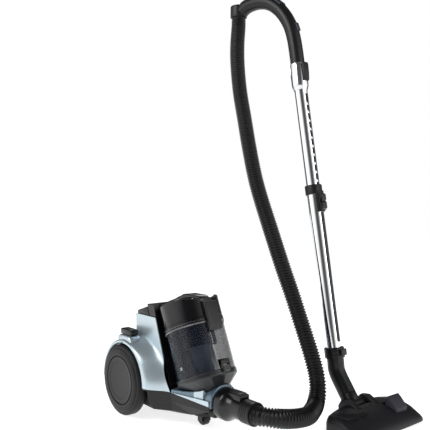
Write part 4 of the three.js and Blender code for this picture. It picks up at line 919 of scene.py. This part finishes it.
piece("handle_limb", [swept(limb_route, LIMB_RADIUS, 48)], satin_black, "handle",
      ["handle_shell"], place=HANDLE, cutters=[below_joint], crease=45)
piece("hose_socket", [hose_socket], satin_black, "handle", place=HANDLE, crease=35)
grip_route = [(-57.7, 160), (-90, 185), (-125, 196), (-158, 196), (-180, 189)]
grip_line = smooth_route([(x, 0, z) for x, z in grip_route], 8)
wedge = slab(grip_route + offset_row(grip_route, -60)[::-1], -14, 14)
piece("grip_pad", [swept(grip_line, GRIP_RADIUS, 48)], grip_plastic, "handle", ["grip_insert"],
      place=HANDLE, within=[wedge], cutters=[swept(limb_route, LIMB_RADIUS + 0.3, 48)], crease=40)
slider_place = Matrix.Translation((-18.6, 0, 95)) @ Matrix.Rotation(math.radians(-20), 4, "Y")
piece("suction_slide", [moved(block((15, -5.3, -12), (23.5, 5.3, 12)), slider_place)], grip_plastic,
      "slider", ["suction_slider"], place=HANDLE, bevel=1.6)
print("points on the handle's line:", len(limb_route))

# %% [markdown]
# ## Floor head
# A wide low moulding carries the neck in a slot between two cheeks. The foot pedal rocks on one side
# and lowers the bristles. The neck has two turning joints: the barrel in the head and the seam above it.

# %% Neck
PIVOT = (398, 40)
SEAM = (377, 61)
SEAM_TILT = math.radians(35)


def ray_point(start, tilt, run):
    """A point so far along a line that leans back from the vertical."""
    return (start[0] - run * math.sin(tilt), 0, start[1] + run * math.cos(tilt))


elbow_line = smooth_route([ray_point(SEAM, SEAM_TILT, run) for run in (0.3, 12)]
                          + [ray_point(WAND_FOOT, WAND_TILT, run) for run in (-58, -36, -26)], 8)
piece("elbow_bend", [swept(elbow_line, 21, 56)], satin_black, "lower_wand", ["elbow"], place=HEAD)
barrel = lathed_y([(0, -24.7), (15.6, -24.7), (17, -23.3), (17, 23.3), (15.6, 24.7), (0, 24.7)],
                  PIVOT[0], 0, PIVOT[1], 72)
seat = moved(lathed([(0, -40), (21, -40), (21, -1.6), (20.4, -0.3), (0, -0.3)], 72),
             Matrix.Translation((SEAM[0], 0, SEAM[1])) @ Matrix.Rotation(-SEAM_TILT, 4, "Y"))
yoke_room = block((330, -40, 20), (406, 40, 90))
piece("yoke_barrel", [barrel], satin_black, "neck", ["yoke"], place=HEAD)
piece("yoke_seat", [seat], satin_black, "neck", place=HEAD, within=[yoke_room])
print("elbow points:", len(elbow_line))

# %% [markdown]
# The cover is a loft of outlines from end to end. Each outline belongs to a share of the half width, so
# the ends round off in plan and in height at once.

# %% Head cover
HEAD_HALF_WIDTH = 126
HEAD_SECTIONS = [
    (1, 422, 495, 26), (0.99, 417, 501, 31), (0.97, 414, 507, 36), (0.93, 409, 510, 39.6),
    (0.85, 404, 512, 43), (0.65, 398, 512.6, 45.8), (0.4, 394, 513, 48),
]


def head_ring(section, sign):
    share, rear, front, top = section
    outline = [(rear, 6), (rear, top * 0.7), (rear + 3, top * 0.88), (rear + 10, top), (rear + 44, top),
               (front - 34, top * 0.84), (front - 9, top * 0.5), (front - 2, top * 0.34),
               (front, top * 0.22), (front, 6)]
    return [(x, sign * share * HEAD_HALF_WIDTH, z) for x, z in outline]


shell = lofted([head_ring(s, 1) for s in HEAD_SECTIONS] + [head_ring(s, -1) for s in HEAD_SECTIONS[::-1]])
neck_slot = block((300, -26, -5), (424, 26, 100))
pedal_well = block((445, 42, 12), (489, 88, 80))
piece("head_shell", [shell], head_black, "floor_head", ["head_cover"], place=HEAD, bevel=1.6,
      cutters=[neck_slot, pedal_well], crease=28)
CHEEK = [(384, 14), (382, 44), (392, 60), (412, 62), (458, 40), (458, 14)]
for side, y0, y1 in (("left", 26, 44), ("right", -44, -26)):
    piece(f"neck_cheek_{side}", [slab(CHEEK, y0, y1)], head_black, "floor_head", place=HEAD,
          bevel=4, segments=4)
row_of("head_ribs", [block((426, -112, 44), (470, -110.6, 46.2))], 14, (0, 5.2, 0), head_black, "floor_head",
       place=HEAD, bevel=0.4)
ROCKER = [(455, 24), (453, 58), (462, 68), (471, 60), (487, 42), (487, 30), (478, 24)]
piece("rocker_bar", [slab(ROCKER, 43, 87)], pedal_plastic, "pedal", ["rocker_pedal"], place=HEAD,
      bevel=2.4)
print("head sections:", len(HEAD_SECTIONS))

# %% [markdown]
# The bristles are tufts in a strip that drops below the sole for hard floors. Each tuft is a thin cone
# that leans a little its own way, so the seed is fixed.

# %% Bristles
TUFT_COUNT, TUFT_PITCH, TUFT_LEAN, TUFT_SEED = 62, 3.15, 0.09, 7
tuft_tree, TUFT, tuft_in, tuft_out = new_tree(
    "bristle_tufts", {"Count": "Int", "Step": "Vector", "Lean": "Vector", "Seed": "Int", "Finish": "Material"})
tufts = line_of_instances(tuft_tree, tuft_in)
random = tuft_tree.nodes.new("FunctionNodeRandomValue")
random.data_type = "FLOAT_VECTOR"
flipped = tuft_tree.nodes.new("ShaderNodeVectorMath")
flipped.operation = "SCALE"
flipped.inputs["Scale"].default_value = -1
wired(tuft_tree,
      (tuft_in.outputs["Lean"], random.inputs["Max"]), (tuft_in.outputs["Lean"], flipped.inputs[0]),
      (flipped.outputs["Vector"], random.inputs["Min"]), (tuft_in.outputs["Seed"], random.inputs["Seed"]),
      (random.outputs["Value"], tufts.inputs["Rotation"]))
ending(tuft_tree, tufts.outputs["Instances"], tuft_out, tuft_in)

tuft = linked("bristle_tufts", mesh_of("tuft", [lathed([(0, -5.6), (0.5, -5.6), (1.1, 0), (0, 0)], 6)]))
baked(with_tree(tuft, tuft_tree, TUFT, {
    "Count": TUFT_COUNT, "Step": (0, TUFT_PITCH, 0), "Lean": (TUFT_LEAN, TUFT_LEAN, 0.0),
    "Seed": TUFT_SEED, "Finish": rubber}))
tuft.data.transform(Matrix.Translation((452, -96, 8)))
dress(tuft, rubber, "bristles", [], HEAD)
piece("bristle_bar", [block((449.6, -98, 7), (454.4, 98, 13.5))], rubber, "bristles",
      ["bristle_strip"], place=HEAD, bevel=0.4)
print("tufts:", TUFT_COUNT)

# %% [markdown]
# ## Stage
# The floor is a stage piece. It is pale and glows, so that it fades into the white round the machine.

# %% Floor
FLOOR_GLOW = 0.78
floor = linked("floor", mesh_of("floor", [block((-9, -9, -0.02), (9, 9, -0.0004))]))
pale = bpy.data.materials.new("pale_floor")
pale.use_nodes = True
for label, value in {"Base Color": (0.9, 0.9, 0.9, 1), "Roughness": 0.8, "Emission Color": (1, 1, 1, 1),
                     "Emission Strength": FLOOR_GLOW}.items():
    pale.node_tree.nodes["Principled BSDF"].inputs[label].default_value = value
floor.data.materials.append(pale)
print("floor glow:", FLOOR_GLOW)

# %% [markdown]
# Gloss black and chrome show what stands round them. The camera sees plain white, but the machine stands
# in a dim room with two soft bright walls, so its edges get highlights and its blacks stay black. A
# broad key, a strip for the chrome and a soft light from behind do the rest.

# %% Lights and surround
world = bpy.data.worlds.new("studio")
world.use_nodes = True
WALLS = ((-0.5, -0.866, 0.0), (0.898, 0.438, 0.0))
ROOM_LEVEL, WALL_LEVEL = 0.1, 1.4
WALL_EDGE = 0.5
sky = world.node_tree
way = sky.nodes.new("ShaderNodeTexCoord")
both_walls = sky.nodes.new("ShaderNodeMath")
both_walls.operation = "ADD"
for wall_way, wall_input in zip(WALLS, both_walls.inputs):
    facing = sky.nodes.new("ShaderNodeVectorMath")
    facing.operation = "DOT_PRODUCT"
    facing.inputs[1].default_value = wall_way
    glow = sky.nodes.new("ShaderNodeMapRange")
    glow.interpolation_type = "SMOOTHSTEP"
    glow.inputs["From Min"].default_value = WALL_EDGE
    glow.inputs["From Max"].default_value = 1.0
    glow.inputs["To Min"].default_value = ROOM_LEVEL / 2
    glow.inputs["To Max"].default_value = WALL_LEVEL
    wired(sky, (way.outputs["Generated"], facing.inputs[0]), (facing.outputs["Value"], glow.inputs["Value"]),
          (glow.outputs["Result"], wall_input))
path = sky.nodes.new("ShaderNodeLightPath")
tone = sky.nodes.new("ShaderNodeMixRGB")
tone.inputs[2].default_value = (1, 1, 1, 1)
wired(sky, (both_walls.outputs[0], tone.inputs[1]), (path.outputs["Is Camera Ray"], tone.inputs[0]),
      (tone.outputs[0], sky.nodes["Background"].inputs["Color"]))
bpy.context.scene.world = world
bpy.context.scene.view_settings.view_transform = "Standard"


def soft_light(name, power, size, place, aim):
    data = bpy.data.lights.new(name, "AREA")
    data.energy = power
    data.shape = "RECTANGLE"
    data.size, data.size_y = size
    light = bpy.data.objects.new(name, data)
    light.location = place
    light.rotation_euler = (Vector(aim) - Vector(place)).to_track_quat("-Z", "Y").to_euler()
    bpy.context.scene.collection.objects.link(light)


soft_light("key", 24, (1.2, 1.2), (-0.3, -1.8, 1.9), (-0.1, -0.1, 0.3))
soft_light("strip", 6, (0.3, 1.6), (1.9, 0.5, 1.0), (0.1, 0.1, 0.5))
soft_light("rim", 8, (1.4, 0.6), (-1.5, 1.2, 1.6), (0, 0, 0.4))
print("lights:", len(bpy.data.lights))
